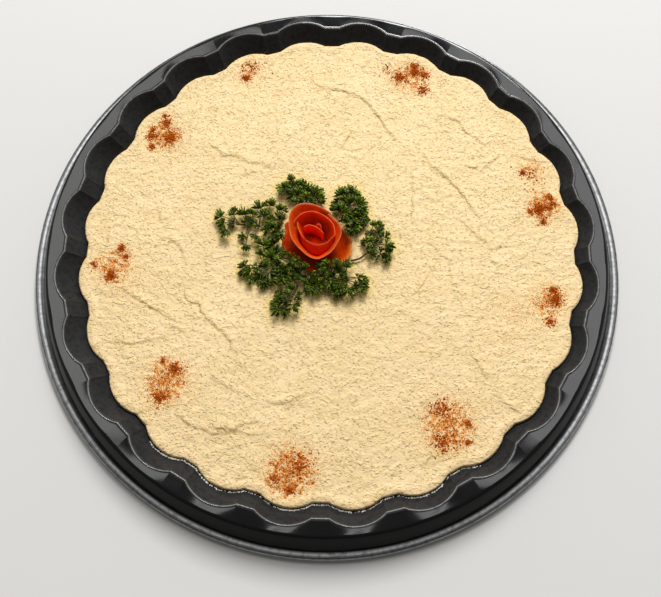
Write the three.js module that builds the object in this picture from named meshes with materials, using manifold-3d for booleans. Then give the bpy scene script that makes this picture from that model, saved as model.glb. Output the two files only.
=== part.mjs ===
// A round fluted catering tray filled with hummus, dusted with paprika near the rim and
// garnished with a rose of tomato peel in a ring of curly parsley.
//
// Millimetres, +Z up. The underside of the tray lies on z = 0 and the tray's axis is the z axis.
// The side nearest the guest is -Y. Angles are in degrees where they are named, counter-clockwise
// seen from above.

import * as THREE from 'three';
import Module from 'manifold-3d';

const wasm = await Module();
wasm.setup();

const DEG = Math.PI / 180;
const GAP = 0.3; // clearance between pieces that touch

// The tray: a thin sheet formed into a round well with fluted, sloping walls, a flat rim and an
// outer skirt that ends in a lip.
const SHEET = 1.2;
const FLUTES = 24;
const FIRST_LAND_ANGLE = -1.5; // middle of one of the straight lands between the lobes
const LAND_HALF_ANGLE = 1.8;
const LOBE_STEPS = 5;
const WELL_DEPTH = 19;
const FLOOR_Z = SHEET;
const RIM_Z = FLOOR_Z + WELL_DEPTH;
const RIM_LAND_R = 178.6;
const RIM_LOBE_R = 184.4;
const FLOOR_LAND_R = 162;
const FLOOR_LOBE_R = 166.3;
const RIM_BEVEL = 0.9; // softened edge between the rim and the wall
const RIM_OUTER_R = 190.6;
const RIM_RISE = 1.1; // the rim climbs this much from the wall to its outer edge
const LIP_INNER_R = 198.6;
const LIP_OUTER_R = 203;
const LIP_Z = RIM_Z - 15;
const LIP_ROUND = 0.4;

// The hummus: a smooth spread, crowned in the middle and filled a little higher towards +X.
const EDGE_R = 171;
const EDGE_Z = RIM_Z - 8;
const CROWN = 2.2;
const LEAN = 2.2;
const SWELL = 0.35; // height of the long, soft waves of the surface
const EDGE_GAP = 0.7; // to the twisted facets of the fluted wall
const EDGE_DROP = 2.4; // the spread rounds down to the wall
const EDGE_ROUND = 3.4;
const SPREAD_RINGS = [0.97, 0.9, 0.82, 0.73, 0.64, 0.55, 0.46, 0.36, 0.25, 0.13];
const RELIEF_ROOT = 0.8; // how far ridges and grains reach below the surface

// Marks of the spreading knife: a low crest along each run of points, with its height and width.
// The crest lies nearer the front foot, and its ends are lower and narrower than its middle.
const RIDGE_BACK = -0.6; // feet and crest across the run, in widths
const RIDGE_FRONT = 0.4;
const RIDGE_CREST = 0.15;
const RIDGE_END_SIZE = 0.25;
const KNIFE_RIDGES = [
  { height: 1.2, width: 8, run: [[-12, 141], [3, 130], [21, 125], [36, 110], [51, 85]] },
  { height: 1.1, width: 6, run: [[-84, 84], [-66, 76], [-57, 70], [-37, 64]] },
  { height: 0.9, width: 5, run: [[62, 66], [63, 50], [60, 33], [59, 16]] },
  { height: 1.2, width: 7, run: [[80, 109], [98, 98], [108, 89], [118, 82]] },
  { height: 1.0, width: 5, run: [[110, 61], [119, 69], [129, 79]] },
  { height: 1.1, width: 6, run: [[69, 79], [83, 61], [98, 43], [110, 20]] },
  { height: 0.9, width: 6, run: [[-146, -21], [-130, -31], [-112, -43], [-95, -51]] },
  { height: 1.1, width: 6, run: [[-95, -33], [-85, -38], [-74, -52], [-62, -65]] },
  { height: 0.9, width: 5, run: [[-117, 7], [-108, 12], [-101, 4], [-97, -15]] },
  { height: 0.9, width: 5, run: [[-145, -63], [-126, -64], [-106, -60], [-98, -51]] },
  { height: 1.1, width: 6, run: [[-97, -110], [-85, -118], [-72, -122], [-58, -119], [-43, -116]] },
  { height: 0.8, width: 5, run: [[62, -146], [66, -140], [73, -138]] },
  { height: 0.9, width: 5, run: [[111, -99], [120, -107], [129, -112]] },
];

// Paprika: patches of small clumps, x and y of the middle, how far the patch spreads, and how
// many clumps are big enough to stand up from the spread.
const PAPRIKA_PATCHES = [
  { x: -119, y: 94, spread: 9, clumps: 8 },
  { x: -57, y: 148, spread: 6, clumps: 4 },
  { x: 61, y: 142, spread: 9, clumps: 8 },
  { x: 142, y: 57, spread: 5, clumps: 3 },
  { x: 154, y: 35, spread: 8, clumps: 8 },
  { x: 151, y: -38, spread: 8, clumps: 7 },
  { x: -148, y: -14, spread: 5, clumps: 5 },
  { x: -108, y: -91, spread: 10, clumps: 8 },
  { x: -24, y: -148, spread: 11, clumps: 9 },
  { x: 78, y: -120, spread: 11, clumps: 9 },
];
const CLUMP_SIZE = [1.1, 2.0]; // least and greatest radius
const CLUMP_HEIGHT = 0.9;
const CLUMP_WAIST = 0.15; // height of its widest part above the spread
const CLUMP_CORNERS = 5;
const CLUMP_UNEVEN = [0.8, 1.2];
const NEXT_CLUMP_TURN = 137.5 * DEG;
const PAPRIKA_REACH = 160; // clumps stay this close to the tray's axis
const PAPRIKA_SEED = 7;

// The tomato rose: one long peel, wound inwards clockwise on a flat, lobed base.
const ROSE_BASE = { x: -7.5, y: 6.5, radius: 23, steps: 30, lift: 3.4, edge: 0.8 };
const BASE_LOBES = [{ depth: 1.8, count: 1, from: -25 }, { depth: 1.2, count: 4, from: -100 }];
const BASE_FOOT = 0.66; // radius of the flat foot, in parts of the edge radius
const BASE_DISH = 0.62;
const ROSE_HEAD = { x: -8, y: 8.5, startAngle: 40, stepsPerQuarter: 5, height: 18.5, dip: 3.5 };
// Radius of the peel's top edge at each quarter turn, from its outer end to its inner end.
const ROSE_RIM_R = [16.5, 18.4, 18.8, 18.6, 18.2, 13.6, 12, 12.2, 11.4, 8.2, 6.6, 5.4, 2.6];
const PEEL = 1.7;
const PEEL_FLARE = [5.2, 0.6]; // how far the top edge stands out from the foot
const PEEL_BULGE = 1.2;
const PEEL_BULGE_AT = 0.55; // height of the bulge, in parts of the peel's height
const PEEL_WAVE = 0.6; // the top edge rises and falls by this much, three times a turn
const PEEL_TIP = { height: 0.3, turns: 0.4 }; // the outer end starts low and soon climbs

// Curly parsley: each sprig has a stem from under the rose, and leaves given by x, y and size
// that grow out from the nearest place on the stem. A leaf has three frilled fans.
const STEM_R = 0.8;
const STEM_LIFT = 1.4;
const STALK_R = 0.6;
const STEM_FOOTHOLDS = 6; // places along a stem where a stalk may start
const LEAF_LIFT = 4.5;
const LEAF_THICKNESS = 1;
const FAN_SPREAD_ANGLE = 72; // between neighbouring fans of a leaf
const FAN_TILT_ANGLE = 36;
const FAN_OUTLINE = [[-20, 1, -0.14], [0, 0.74, 0.16], [20, 1.06, -0.1]]; // angle, reach, rise
const FAN_NOTCH = [0.4, 0.05]; // reach and rise between two fans
const LEAF_TOLERANCE = 0.15; // edges finer than this are merged away
const LEAF_SEED = 31;
const SPRIGS = {
  parsley_back_left: {
    stem: [[-13, 34], [-15, 39], [-22, 43]],
    leaves: [[-29.5, 46, 6.6], [-22, 50, 6.4], [-13, 47.5, 7], [-4.5, 41, 6.8]],
  },
  parsley_back_right: {
    stem: [[14, 25], [17, 30], [16, 37]],
    leaves: [[15, 42, 7.2], [8, 36, 6], [23, 34, 7.2], [24.5, 26, 6.2], [21.5, 17.5, 6.4]],
  },
  parsley_left: {
    stem: [[-33, 17], [-47, 19], [-63, 20.5]],
    leaves: [
      [-72, 23.5, 6.8], [-67, 13.5, 5.8], [-60, 28, 6.2], [-48.8, 29.2, 6.8], [-39.5, 30, 7],
      [-31.5, 23, 5.6], [-54.5, 9.5, 6],
    ],
  },
  parsley_front_left: {
    stem: [[-33, -4], [-39, -8], [-44, -12]],
    leaves: [
      [-45, 3.5, 6.6], [-36.5, 4.5, 6.2], [-49, -6.5, 5.4], [-54.5, -15.5, 6.8], [-44, -21, 7.2],
      [-34.5, -16, 6.4],
    ],
  },
  parsley_front: {
    stem: [[-20, -25], [-23, -31], [-27, -35]],
    leaves: [[-32.5, -41, 7.2], [-21.5, -40.5, 6.2]],
  },
  parsley_front_right: {
    stem: [[-14, -18.5], [0, -20.5], [14, -22]],
    leaves: [
      [-22.4, -17.9, 5.6], [-9.5, -25.5, 6.2], [4, -29, 7.4], [10, -16, 5], [15, -30, 6.2],
      [23, -25.5, 7],
    ],
  },
  parsley_right: {
    stem: [[24, -7], [31, -2], [34, 4]],
    leaves: [[32.5, 11, 6.8], [40.5, 7.5, 6.8], [39.5, -4, 6.8]],
  },
};

const MATERIALS = {
  tray: { color: 0x26272a, roughness: 0.22, metalness: 0 },
  hummus: { color: 0xf2d9a4, roughness: 0.72, metalness: 0 },
  tomato: { color: 0xc22a0c, roughness: 0.34, metalness: 0 },
  parsley: { color: 0x2c4f16, roughness: 0.5, metalness: 0 },
};

// ---------------------------------------------------------------------------------------------
// Helpers

/** Value between two ends of a [start, end] pair. */
function between([start, end], t) {
  return start + (end - start) * t;
}

/** Repeatable random numbers from 0 to 1. */
function randomFrom(seed) {
  let state = seed >>> 0;
  return () => {
    state = (Math.imul(state, 1664525) + 1013904223) >>> 0;
    return state / 2 ** 32;
  };
}

/** Point at an angle in radians, a distance from the axis and a height. */
function polar(angle, radius, z) {
  return new THREE.Vector3(radius * Math.cos(angle), radius * Math.sin(angle), z);
}

/** Closed solid from points and triangles, turned so that its faces point outwards. */
function solid(points, faces) {
  let sixVolumes = 0;
  for (const [a, b, c] of faces) {
    sixVolumes += points[a].dot(new THREE.Vector3().crossVectors(points[b], points[c]));
  }
  const turned = sixVolumes < 0 ? faces.map(([a, b, c]) => [a, c, b]) : faces;
  const vertProperties = new Float32Array(points.flatMap((point) => point.toArray()));
  const triVerts = new Uint32Array(turned.flat());
  return new wasm.Manifold(new wasm.Mesh({ numProp: 3, vertProperties, triVerts }));
}

/** Solid through rings that run from a bottom pole outwards and back in to a top pole. A ring
 *  has as many points as the one before it, or half as many. */
function solidOfRings(bottom, rings, top) {
  const points = [bottom, ...rings.flat(), top];
  const starts = [];
  let next = 1;
  for (const ring of rings) {
    starts.push(next);
    next += ring.length;
  }
  const faces = [];
  const firstCount = rings[0].length;
  for (let i = 0; i < firstCount; i++) {
    faces.push([0, 1 + (i + 1) % firstCount, 1 + i]);
  }
  for (let r = 0; r + 1 < rings.length; r++) {
    const n = rings[r].length;
    const m = rings[r + 1].length;
    const low = (i) => starts[r] + i % n;
    const high = (i) => starts[r + 1] + i % m;
    for (let j = 0; j < m; j++) {
      if (m === n) {
        faces.push([low(j), low(j + 1), high(j + 1)], [low(j), high(j + 1), high(j)]);
      } else {
        faces.push([low(2 * j), low(2 * j + 1), high(j)]);
        faces.push([low(2 * j + 1), high(j + 1), high(j)]);
        faces.push([low(2 * j + 1), low(2 * j + 2), high(j + 1)]);
      }
    }
  }
  const lastStart = starts[rings.length - 1];
  const lastCount = rings[rings.length - 1].length;
  for (let i = 0; i < lastCount; i++) {
    faces.push([points.length - 1, lastStart + i, lastStart + (i + 1) % lastCount]);
  }
  return solid(points, faces);
}

/** Solid through equal cross-sections, each a closed outline, with flat ends. */
function solidOfSections(sections) {
  const size = sections[0].length;
  const at = (s, i) => s * size + i % size;
  const faces = [];
  for (let s = 0; s + 1 < sections.length; s++) {
    for (let i = 0; i < size; i++) {
      faces.push([at(s, i), at(s, i + 1), at(s + 1, i + 1)], [at(s, i), at(s + 1, i + 1), at(s + 1, i)]);
    }
  }
  for (let i = 1; i + 1 < size; i++) {
    faces.push([at(0, 0), at(0, i + 1), at(0, i)]);
    faces.push([at(sections.length - 1, 0), at(sections.length - 1, i), at(sections.length - 1, i + 1)]);
  }
  return solid(sections.flat(), faces);
}

/** Named mesh of a solid. */
function meshOf(name, body, look) {
  const { vertProperties, triVerts } = body.getMesh();
  const geometry = new THREE.BufferGeometry();
  geometry.setAttribute('position', new THREE.BufferAttribute(vertProperties, 3));
  geometry.setIndex(new THREE.BufferAttribute(triVerts, 1));
  geometry.computeVertexNormals();
  const mesh = new THREE.Mesh(geometry, new THREE.MeshStandardMaterial(look));
  mesh.name = name;
  return mesh;
}

// ---------------------------------------------------------------------------------------------
// Tray

/** Angles, in radians, of the corners of every land and the steps round every lobe. */
function fluteAngles() {
  const pitch = 360 / FLUTES;
  const lobeAngle = pitch - 2 * LAND_HALF_ANGLE;
  const angles = [];
  for (let flute = 0; flute < FLUTES; flute++) {
    const landStart = FIRST_LAND_ANGLE + flute * pitch - LAND_HALF_ANGLE;
    angles.push(landStart * DEG);
    for (let step = 0; step < LOBE_STEPS; step++) {
      angles.push((landStart + 2 * LAND_HALF_ANGLE + (lobeAngle * step) / LOBE_STEPS) * DEG);
    }
  }
  return angles;
}

/** Radius of a fluted outline: straight lands, and arcs that bow out to the lobe radius. */
function fluteRadius(angle, landR, lobeR) {
  const halfPitch = 180 / FLUTES;
  const turn = angle / DEG - FIRST_LAND_ANGLE + halfPitch;
  const fromLand = Math.abs(turn - 2 * halfPitch * Math.floor(turn / (2 * halfPitch)) - halfPitch);
  if (fromLand <= LAND_HALF_ANGLE + 1e-6) {
    return (landR * Math.cos(LAND_HALF_ANGLE * DEG)) / Math.cos(fromLand * DEG);
  }
  const cornerAngle = (halfPitch - LAND_HALF_ANGLE) * DEG;
  const halfChord = landR * Math.sin(cornerAngle);
  const bow = lobeR - landR * Math.cos(cornerAngle);
  const arcR = (halfChord ** 2 + bow ** 2) / (2 * bow);
  const arcCentre = lobeR - arcR;
  const fromLobe = (halfPitch - fromLand) * DEG;
  return arcCentre * Math.cos(fromLobe) + Math.sqrt(arcR ** 2 - (arcCentre * Math.sin(fromLobe)) ** 2);
}

/** Inside radius of the sloping wall at an angle and a height. */
function wallRadius(angle, z) {
  const rim = fluteRadius(angle, RIM_LAND_R, RIM_LOBE_R);
  const floor = fluteRadius(angle, FLOOR_LAND_R, FLOOR_LOBE_R);
  return floor + ((rim - floor) * (z - FLOOR_Z)) / WELL_DEPTH;
}

function makeTray() {
  const angles = fluteAngles();
  const ring = (radiusAt, z) => angles.map((angle) => polar(angle, radiusAt(angle), z));
  const rimOuterZ = RIM_Z + RIM_RISE;
  // Where two offset faces of the sheet meet, the corner moves sideways by this much.
  const wallMitre = SHEET * Math.tan((Math.atan2(WELL_DEPTH, RIM_LAND_R - FLOOR_LAND_R)) / 2);
  const skirtMitre = SHEET * Math.tan(Math.atan2(rimOuterZ - LIP_Z, LIP_INNER_R - RIM_OUTER_R) / 2);
  const under = [
    ring((a) => wallRadius(a, FLOOR_Z) + wallMitre, FLOOR_Z - SHEET),
    ring((a) => wallRadius(a, RIM_Z) + wallMitre, RIM_Z - SHEET),
    ring(() => RIM_OUTER_R - skirtMitre, rimOuterZ - SHEET),
    ring(() => LIP_INNER_R - skirtMitre, LIP_Z - SHEET),
    ring(() => LIP_OUTER_R - LIP_ROUND, LIP_Z - SHEET),
  ];
  const over = [
    ring(() => LIP_OUTER_R, LIP_Z - SHEET / 2),
    ring(() => LIP_OUTER_R - LIP_ROUND, LIP_Z),
    ring(() => LIP_INNER_R, LIP_Z),
    ring(() => RIM_OUTER_R + RIM_BEVEL / 2, rimOuterZ - RIM_BEVEL),
    ring(() => RIM_OUTER_R - RIM_BEVEL, rimOuterZ),
    ring((a) => wallRadius(a, RIM_Z) + RIM_BEVEL, RIM_Z),
    ring((a) => wallRadius(a, RIM_Z - RIM_BEVEL), RIM_Z - RIM_BEVEL),
    ring((a) => wallRadius(a, FLOOR_Z), FLOOR_Z),
  ];
  return solidOfRings(new THREE.Vector3(0, 0, 0), [...under, ...over], new THREE.Vector3(0, 0, FLOOR_Z));
}

// ---------------------------------------------------------------------------------------------
// Hummus and paprika

/** Height of the smooth spread at a point. */
function spreadHeight(x, y) {
  const reach = Math.hypot(x, y) / EDGE_R;
  const crown = CROWN * (1 - reach * reach);
  const lean = (LEAN * x) / EDGE_R;
  const swell = Math.sin(x / 31 + 1) * Math.cos(y / 27) + 0.6 * Math.sin((x - y) / 19 + 2);
  return EDGE_Z + crown + lean + SWELL * swell;
}

function makeSpread() {
  const angles = fluteAngles();
  const wallSlope = Math.atan2(WELL_DEPTH, RIM_LAND_R - FLOOR_LAND_R);
  const wallGap = EDGE_GAP / Math.sin(wallSlope);
  const contactZ = (angle) => EDGE_Z + LEAN * Math.cos(angle) - EDGE_DROP;
  const contactR = (angle) => wallRadius(angle, contactZ(angle)) - wallGap;
  const onSurface = (angle, radius) => {
    const point = polar(angle, radius, 0);
    point.z = spreadHeight(point.x, point.y);
    return point;
  };
  const floorZ = FLOOR_Z + GAP;
  const rings = [
    angles.map((a) => polar(a, wallRadius(a, floorZ) - wallGap, floorZ)),
    angles.map((a) => polar(a, contactR(a), contactZ(a))),
    angles.map((a) => onSurface(a, contactR(a) - EDGE_ROUND)),
  ];
  const inner = angles.filter((angle, index) => index % 2 === 0);
  for (const fraction of SPREAD_RINGS) {
    // The flutes fade towards the middle, where the rings are round.
    const fluted = fraction ** 3;
    rings.push(inner.map((a) => onSurface(a, fraction * (fluted * contactR(a) + (1 - fluted) * EDGE_R))));
  }
  return solidOfRings(new THREE.Vector3(0, 0, floorZ), rings, onSurface(0, 0));
}

/** Low crest with one steep side, along points on the spread. */
function makeRidge({ run, width, height }) {
  const curve = new THREE.CatmullRomCurve3(run.map(([x, y]) => new THREE.Vector3(x, y, 0)));
  const steps = 2 * (run.length - 1) + 1;
  const sections = [];
  for (let step = 0; step <= steps; step++) {
    const t = step / steps;
    const middle = curve.getPointAt(t);
    const along = curve.getTangentAt(t);
    const side = new THREE.Vector3(-along.y, along.x, 0);
    const size = RIDGE_END_SIZE + (1 - RIDGE_END_SIZE) * Math.sin(Math.PI * t);
    const place = (across, lift) => {
      const point = middle.clone().addScaledVector(side, across * width * size);
      point.z = spreadHeight(point.x, point.y) + lift;
      return point;
    };
    sections.push([
      place(RIDGE_BACK, -RELIEF_ROOT), place(RIDGE_FRONT, -RELIEF_ROOT),
      place(RIDGE_CREST, height * size),
    ]);
  }
  return solidOfSections(sections);
}

/** Flattened, uneven clumps of paprika, crowded towards the middle of their patch. */
function makePaprika() {
  const random = randomFrom(PAPRIKA_SEED);
  const clumps = [];
  for (const { x, y, spread, clumps: count } of PAPRIKA_PATCHES) {
    for (let i = 0; i < count; i++) {
      const direction = (i + random() / 2) * NEXT_CLUMP_TURN;
      const distance = spread * Math.sqrt((i + 0.5) / count);
      const centre = new THREE.Vector2(Math.cos(direction), Math.sin(direction)).multiplyScalar(distance);
      const { x: cx, y: cy } = centre.add({ x, y }).clampLength(0, PAPRIKA_REACH);
      const radius = between(CLUMP_SIZE, random());
      const turn = random() * 360 * DEG;
      const cz = spreadHeight(cx, cy);
      const corner = (k, lift) => {
        const reach = radius * between(CLUMP_UNEVEN, random());
        const angle = turn + (k * 360 * DEG) / CLUMP_CORNERS;
        return new THREE.Vector3(cx + reach * Math.cos(angle), cy + reach * Math.sin(angle), cz + lift);
      };
      const middle = Array.from({ length: CLUMP_CORNERS }, (unused, k) => corner(k, CLUMP_WAIST));
      const foot = new THREE.Vector3(cx, cy, cz - RELIEF_ROOT);
      const crest = new THREE.Vector3(cx, cy, cz + CLUMP_HEIGHT * between(CLUMP_UNEVEN, random()));
      clumps.push(solidOfRings(foot, [middle], crest));
    }
  }
  return clumps;
}

function makeHummus() {
  return wasm.Manifold.union([makeSpread(), ...KNIFE_RIDGES.map(makeRidge), ...makePaprika()]);
}

// ---------------------------------------------------------------------------------------------
// Tomato rose

/** Height of the spread under the rose, where it is pressed level. */
function roseFloor() {
  return spreadHeight(ROSE_BASE.x, ROSE_BASE.y) + SWELL + GAP;
}

/** The wound peel: a bulging strip that leans outwards, most of all on the outer turn. */
function makeRosePeel() {
  const footZ = roseFloor() + PEEL / 2;
  const rimRadius = new THREE.SplineCurve(
    ROSE_RIM_R.map((radius, quarter) => new THREE.Vector2(quarter, radius)),
  );
  const quarters = ROSE_RIM_R.length - 1;
  const steps = quarters * ROSE_HEAD.stepsPerQuarter;
  const half = PEEL / 2;
  const headCentre = new THREE.Vector3(ROSE_HEAD.x, ROSE_HEAD.y, 0);
  const sections = [];
  for (let step = 0; step <= steps; step++) {
    const t = step / steps;
    const angle = (ROSE_HEAD.startAngle - 90 * quarters * t) * DEG;
    const topR = rimRadius.getPoint(t).y;
    const footR = Math.max(topR - between(PEEL_FLARE, t), 2 * half);
    const middleR = (topR + footR) / 2 + PEEL_BULGE * (1 - t);
    const climb = Math.min(1, (quarters * t) / (4 * PEEL_TIP.turns));
    const height = (ROSE_HEAD.height - ROSE_HEAD.dip * t ** 2) * between([PEEL_TIP.height, 1], climb);
    const topZ = footZ + height + PEEL_WAVE * Math.sin(3 * angle + 2);
    const middleZ = footZ + (topZ - footZ) * PEEL_BULGE_AT;
    const place = (radius, z) => polar(angle, radius, z).add(headCentre);
    sections.push([
      place(footR - half, footZ), place(footR + half, footZ),
      place(middleR + half, middleZ), place(topR + 0.6 * half, topZ),
      place(topR - 0.6 * half, topZ), place(middleR - half, middleZ),
    ]);
  }
  return solidOfSections(sections);
}

/** The base that the peel stands on: a lobed saucer with a curled edge. */
function makeRoseBase() {
  const floorZ = roseFloor();
  const { x, y, radius: meanR, steps, lift: greatestLift, edge } = ROSE_BASE;
  const rings = { foot: [], edgeLow: [], edgeHigh: [], dish: [] };
  for (let i = 0; i < steps; i++) {
    const angle = (i * 360 * DEG) / steps;
    const edgeR = BASE_LOBES.reduce((radius, { depth, count, from }) => (
      radius + depth * Math.cos(count * (angle - from * DEG))
    ), meanR);
    const lift = greatestLift * (0.7 + 0.3 * Math.cos(3 * angle + 1));
    const place = (radius, z) => polar(angle, radius, z).add(new THREE.Vector3(x, y, 0));
    rings.foot.push(place(edgeR * BASE_FOOT, floorZ));
    rings.edgeLow.push(place(edgeR, floorZ + lift));
    rings.edgeHigh.push(place(edgeR - edge / 2, floorZ + lift + edge));
    rings.dish.push(place(edgeR * BASE_DISH, floorZ + PEEL));
  }
  const bottom = new THREE.Vector3(x, y, floorZ);
  const top = new THREE.Vector3(x, y, floorZ + PEEL);
  return solidOfRings(bottom, [rings.foot, rings.edgeLow, rings.edgeHigh, rings.dish], top);
}

function makeRose() {
  return makeRosePeel().add(makeRoseBase());
}

// ---------------------------------------------------------------------------------------------
// Parsley

/** Square stem through a run of points. */
function makeStem(run) {
  const curve = new THREE.CatmullRomCurve3(run);
  const steps = 2 * (run.length - 1);
  const sections = [];
  for (let step = 0; step <= steps; step++) {
    const t = step / steps;
    const centre = curve.getPoint(t);
    const along = curve.getTangent(t);
    const side = new THREE.Vector3(-along.y, along.x, 0).normalize();
    const up = new THREE.Vector3().crossVectors(along, side);
    sections.push([[1, 0], [0, 1], [-1, 0], [0, -1]].map(([s, u]) => (
      centre.clone().addScaledVector(side, s * STEM_R).addScaledVector(up, u * STEM_R)
    )));
  }
  return solidOfSections(sections);
}

/** Thin wavy leaf of three fans round a node, pointing away from the foot of its stalk. */
function makeLeaf(node, foot, size, random) {
  const heading = Math.atan2(node.y - foot.y, node.x - foot.x);
  const place = (angle, reach, rise) => (
    polar(heading + angle * DEG, reach * size, rise * size).add(node)
  );
  const outline = [];
  for (const side of [-1, 0, 1]) {
    const turn = side * FAN_SPREAD_ANGLE;
    const slope = Math.tan((random() - 0.35) * FAN_TILT_ANGLE * DEG);
    for (const [angle, reach, rise] of FAN_OUTLINE) {
      outline.push(place(turn + angle, reach, rise + slope * reach));
    }
    if (side < 1) {
      outline.push(place(turn + FAN_SPREAD_ANGLE / 2, ...FAN_NOTCH));
    }
  }
  const across = new THREE.Vector3(-Math.sin(heading), Math.cos(heading), 0);
  outline.push(foot.clone().addScaledVector(across, STALK_R));
  outline.push(foot.clone().addScaledVector(across, -STALK_R));
  const thicken = (point, side) => new THREE.Vector3(0, 0, (side * LEAF_THICKNESS) / 2).add(point);
  const lower = outline.map((corner) => thicken(corner, -1));
  const upper = outline.map((corner) => thicken(corner, 1));
  return solidOfRings(thicken(node, -1), [lower, upper], thicken(node, 1));
}

function makeSprig({ stem, leaves }, random) {
  const over = ([x, y], lift) => new THREE.Vector3(x, y, spreadHeight(x, y) + lift);
  const spine = stem.map((at, index) => over(at, STEM_LIFT + index));
  const footholds = new THREE.CatmullRomCurve3(spine).getPoints(STEM_FOOTHOLDS);
  const pieces = [makeStem(spine)];
  for (const [x, y, size] of leaves) {
    const node = over([x, y], LEAF_LIFT + random());
    const foot = footholds.reduce((best, point) => (
      point.distanceTo(node) < best.distanceTo(node) ? point : best
    ));
    pieces.push(makeLeaf(node, foot, size, random));
  }
  return wasm.Manifold.union(pieces).simplify(LEAF_TOLERANCE);
}

// ---------------------------------------------------------------------------------------------
// The filled tray

const hummusTray = new THREE.Group();
hummusTray.name = 'hummus_tray';
hummusTray.add(meshOf('tray', makeTray(), MATERIALS.tray));
hummusTray.add(meshOf('hummus', makeHummus(), MATERIALS.hummus));
hummusTray.add(meshOf('tomato_rose', makeRose(), MATERIALS.tomato));
const leafRandom = randomFrom(LEAF_SEED);
for (const [name, sprig] of Object.entries(SPRIGS)) {
  hummusTray.add(meshOf(name, makeSprig(sprig, leafRandom), MATERIALS.parsley));
}

export default hummusTray;
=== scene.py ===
"""Looks of a round catering tray of hummus with paprika, a tomato rose and curly parsley.

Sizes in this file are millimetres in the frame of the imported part: the underside of the tray lies
on z = 0, the axis of the tray is the z axis, and the guest sits at -Y. Angles are in degrees where
their names say so. Surfaces are worked out as whole arrays of points, and turned into metres as
they become meshes.
"""

import logging
import math
from collections.abc import Sequence
from dataclasses import dataclass
from enum import Enum
from functools import reduce

import bpy
import numpy as np
from mathutils import Matrix, Vector


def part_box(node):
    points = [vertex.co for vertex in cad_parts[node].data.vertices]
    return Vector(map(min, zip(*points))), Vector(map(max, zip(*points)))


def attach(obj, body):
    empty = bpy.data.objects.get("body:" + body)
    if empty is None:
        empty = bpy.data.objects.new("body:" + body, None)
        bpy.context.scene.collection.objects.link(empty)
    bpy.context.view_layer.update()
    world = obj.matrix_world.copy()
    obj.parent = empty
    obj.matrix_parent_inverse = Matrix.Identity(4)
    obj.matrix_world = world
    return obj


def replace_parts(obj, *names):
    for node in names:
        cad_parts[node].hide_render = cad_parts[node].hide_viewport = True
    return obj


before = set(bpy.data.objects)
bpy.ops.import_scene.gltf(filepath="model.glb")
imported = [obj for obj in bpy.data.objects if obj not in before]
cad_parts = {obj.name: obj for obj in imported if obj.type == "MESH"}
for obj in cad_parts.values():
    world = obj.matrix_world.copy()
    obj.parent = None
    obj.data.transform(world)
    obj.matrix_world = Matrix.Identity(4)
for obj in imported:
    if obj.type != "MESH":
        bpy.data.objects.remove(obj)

Array = np.ndarray
Socket = bpy.types.NodeSocket
Colour = tuple[float, float, float]
Point = tuple[float, float]
Triple = tuple[float, float, float]
Ring = tuple[Array | float, Array | float]

LOG = logging.getLogger("hummus_tray")
MM = 0.001
BODY = "root"
# Middle of the rose's saucer in plan.
ROSE_PLACE: Point = (-7.5, 6.5)


# ---- Shared arithmetic


# Large odd factors and a 32-bit mask, which scatter whole numbers.
HASH_FACTORS = (374761393, 668265263, 974634777, 1274126177)
HASH_MASK = 0xFFFFFFFF


def hashed(i: Array, j: Array, seed: int) -> Array:
    """Repeatable random number from 0 to 1 for each pair of whole numbers."""
    a, b, c, d = HASH_FACTORS
    n = (i.astype(np.int64) * a + j.astype(np.int64) * b + seed * c) & HASH_MASK
    n = ((n ^ (n >> 13)) * d) & HASH_MASK
    return (n ^ (n >> 16)) / (HASH_MASK + 1.0)


def noise(x: Array, y: Array, seed: int) -> Array:
    """Smooth random heights over a plane, with features about one unit wide.

    Each whole-number corner of the plane has a random slope. A point's height is the mix of the
    four slopes around it, weighted by the fade curve 6t^5 - 15t^4 + 10t^3.

    Args:
        x, y: places of the points, in units.
        seed: number that picks the pattern.

    Returns:
        Heights, mostly from -1 to 1, in the shape of x.
    """
    x, y = np.broadcast_arrays(np.asarray(x, float), np.asarray(y, float))
    column, row = np.floor(x), np.floor(y)
    u, v = x - column, y - row

    def slope(di: int, dj: int) -> Array:
        """Height that the slope at one corner around it gives to each point."""
        turn = 2.0 * np.pi * hashed(column + di, row + dj, seed)
        return np.cos(turn) * (u - di) + np.sin(turn) * (v - dj)

    fade_u = u * u * u * (u * (u * 6.0 - 15.0) + 10.0)
    fade_v = v * v * v * (v * (v * 6.0 - 15.0) + 10.0)
    near = slope(0, 0) * (1.0 - fade_u) + slope(1, 0) * fade_u
    far = slope(0, 1) * (1.0 - fade_u) + slope(1, 1) * fade_u
    return 1.6 * (near * (1.0 - fade_v) + far * fade_v)


def smooth_step(low: float, high: float, value: Array) -> Array:
    """0 below low, 1 above high, and 3t^2 - 2t^3 between them."""
    t = np.clip((value - low) / (high - low), 0.0, 1.0)
    return t * t * (3.0 - 2.0 * t)


def spline(points: Array, count: int) -> Array:
    """Evenly numbered points on a smooth curve through a run of points.

    The curve is the Catmull-Rom cubic: each stretch leaves a point in the direction from the
    point before it to the point after it.

    Args:
        points: the run, one row a point.
        count: how many points to return.

    Returns:
        count rows, from the first point to the last.
    """
    points = np.asarray(points, float)
    padded = np.vstack([2 * points[0] - points[1], points, 2 * points[-1] - points[-2]])
    place = np.linspace(0.0, len(points) - 1.0, count)
    k = np.minimum(place.astype(int), len(points) - 2)
    t = (place - k)[:, None]
    a, b, c, d = (padded[k + n] for n in range(4))
    return 0.5 * (
        2 * b + (c - a) * t + (2 * a - 5 * b + 4 * c - d) * t**2 + (3 * b - a - 3 * c + d) * t**3
    )


def unit(vectors: Array) -> Array:
    """Vectors scaled to length 1 along the last axis."""
    return vectors / np.maximum(np.linalg.norm(vectors, axis=-1, keepdims=True), 1e-12)


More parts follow.
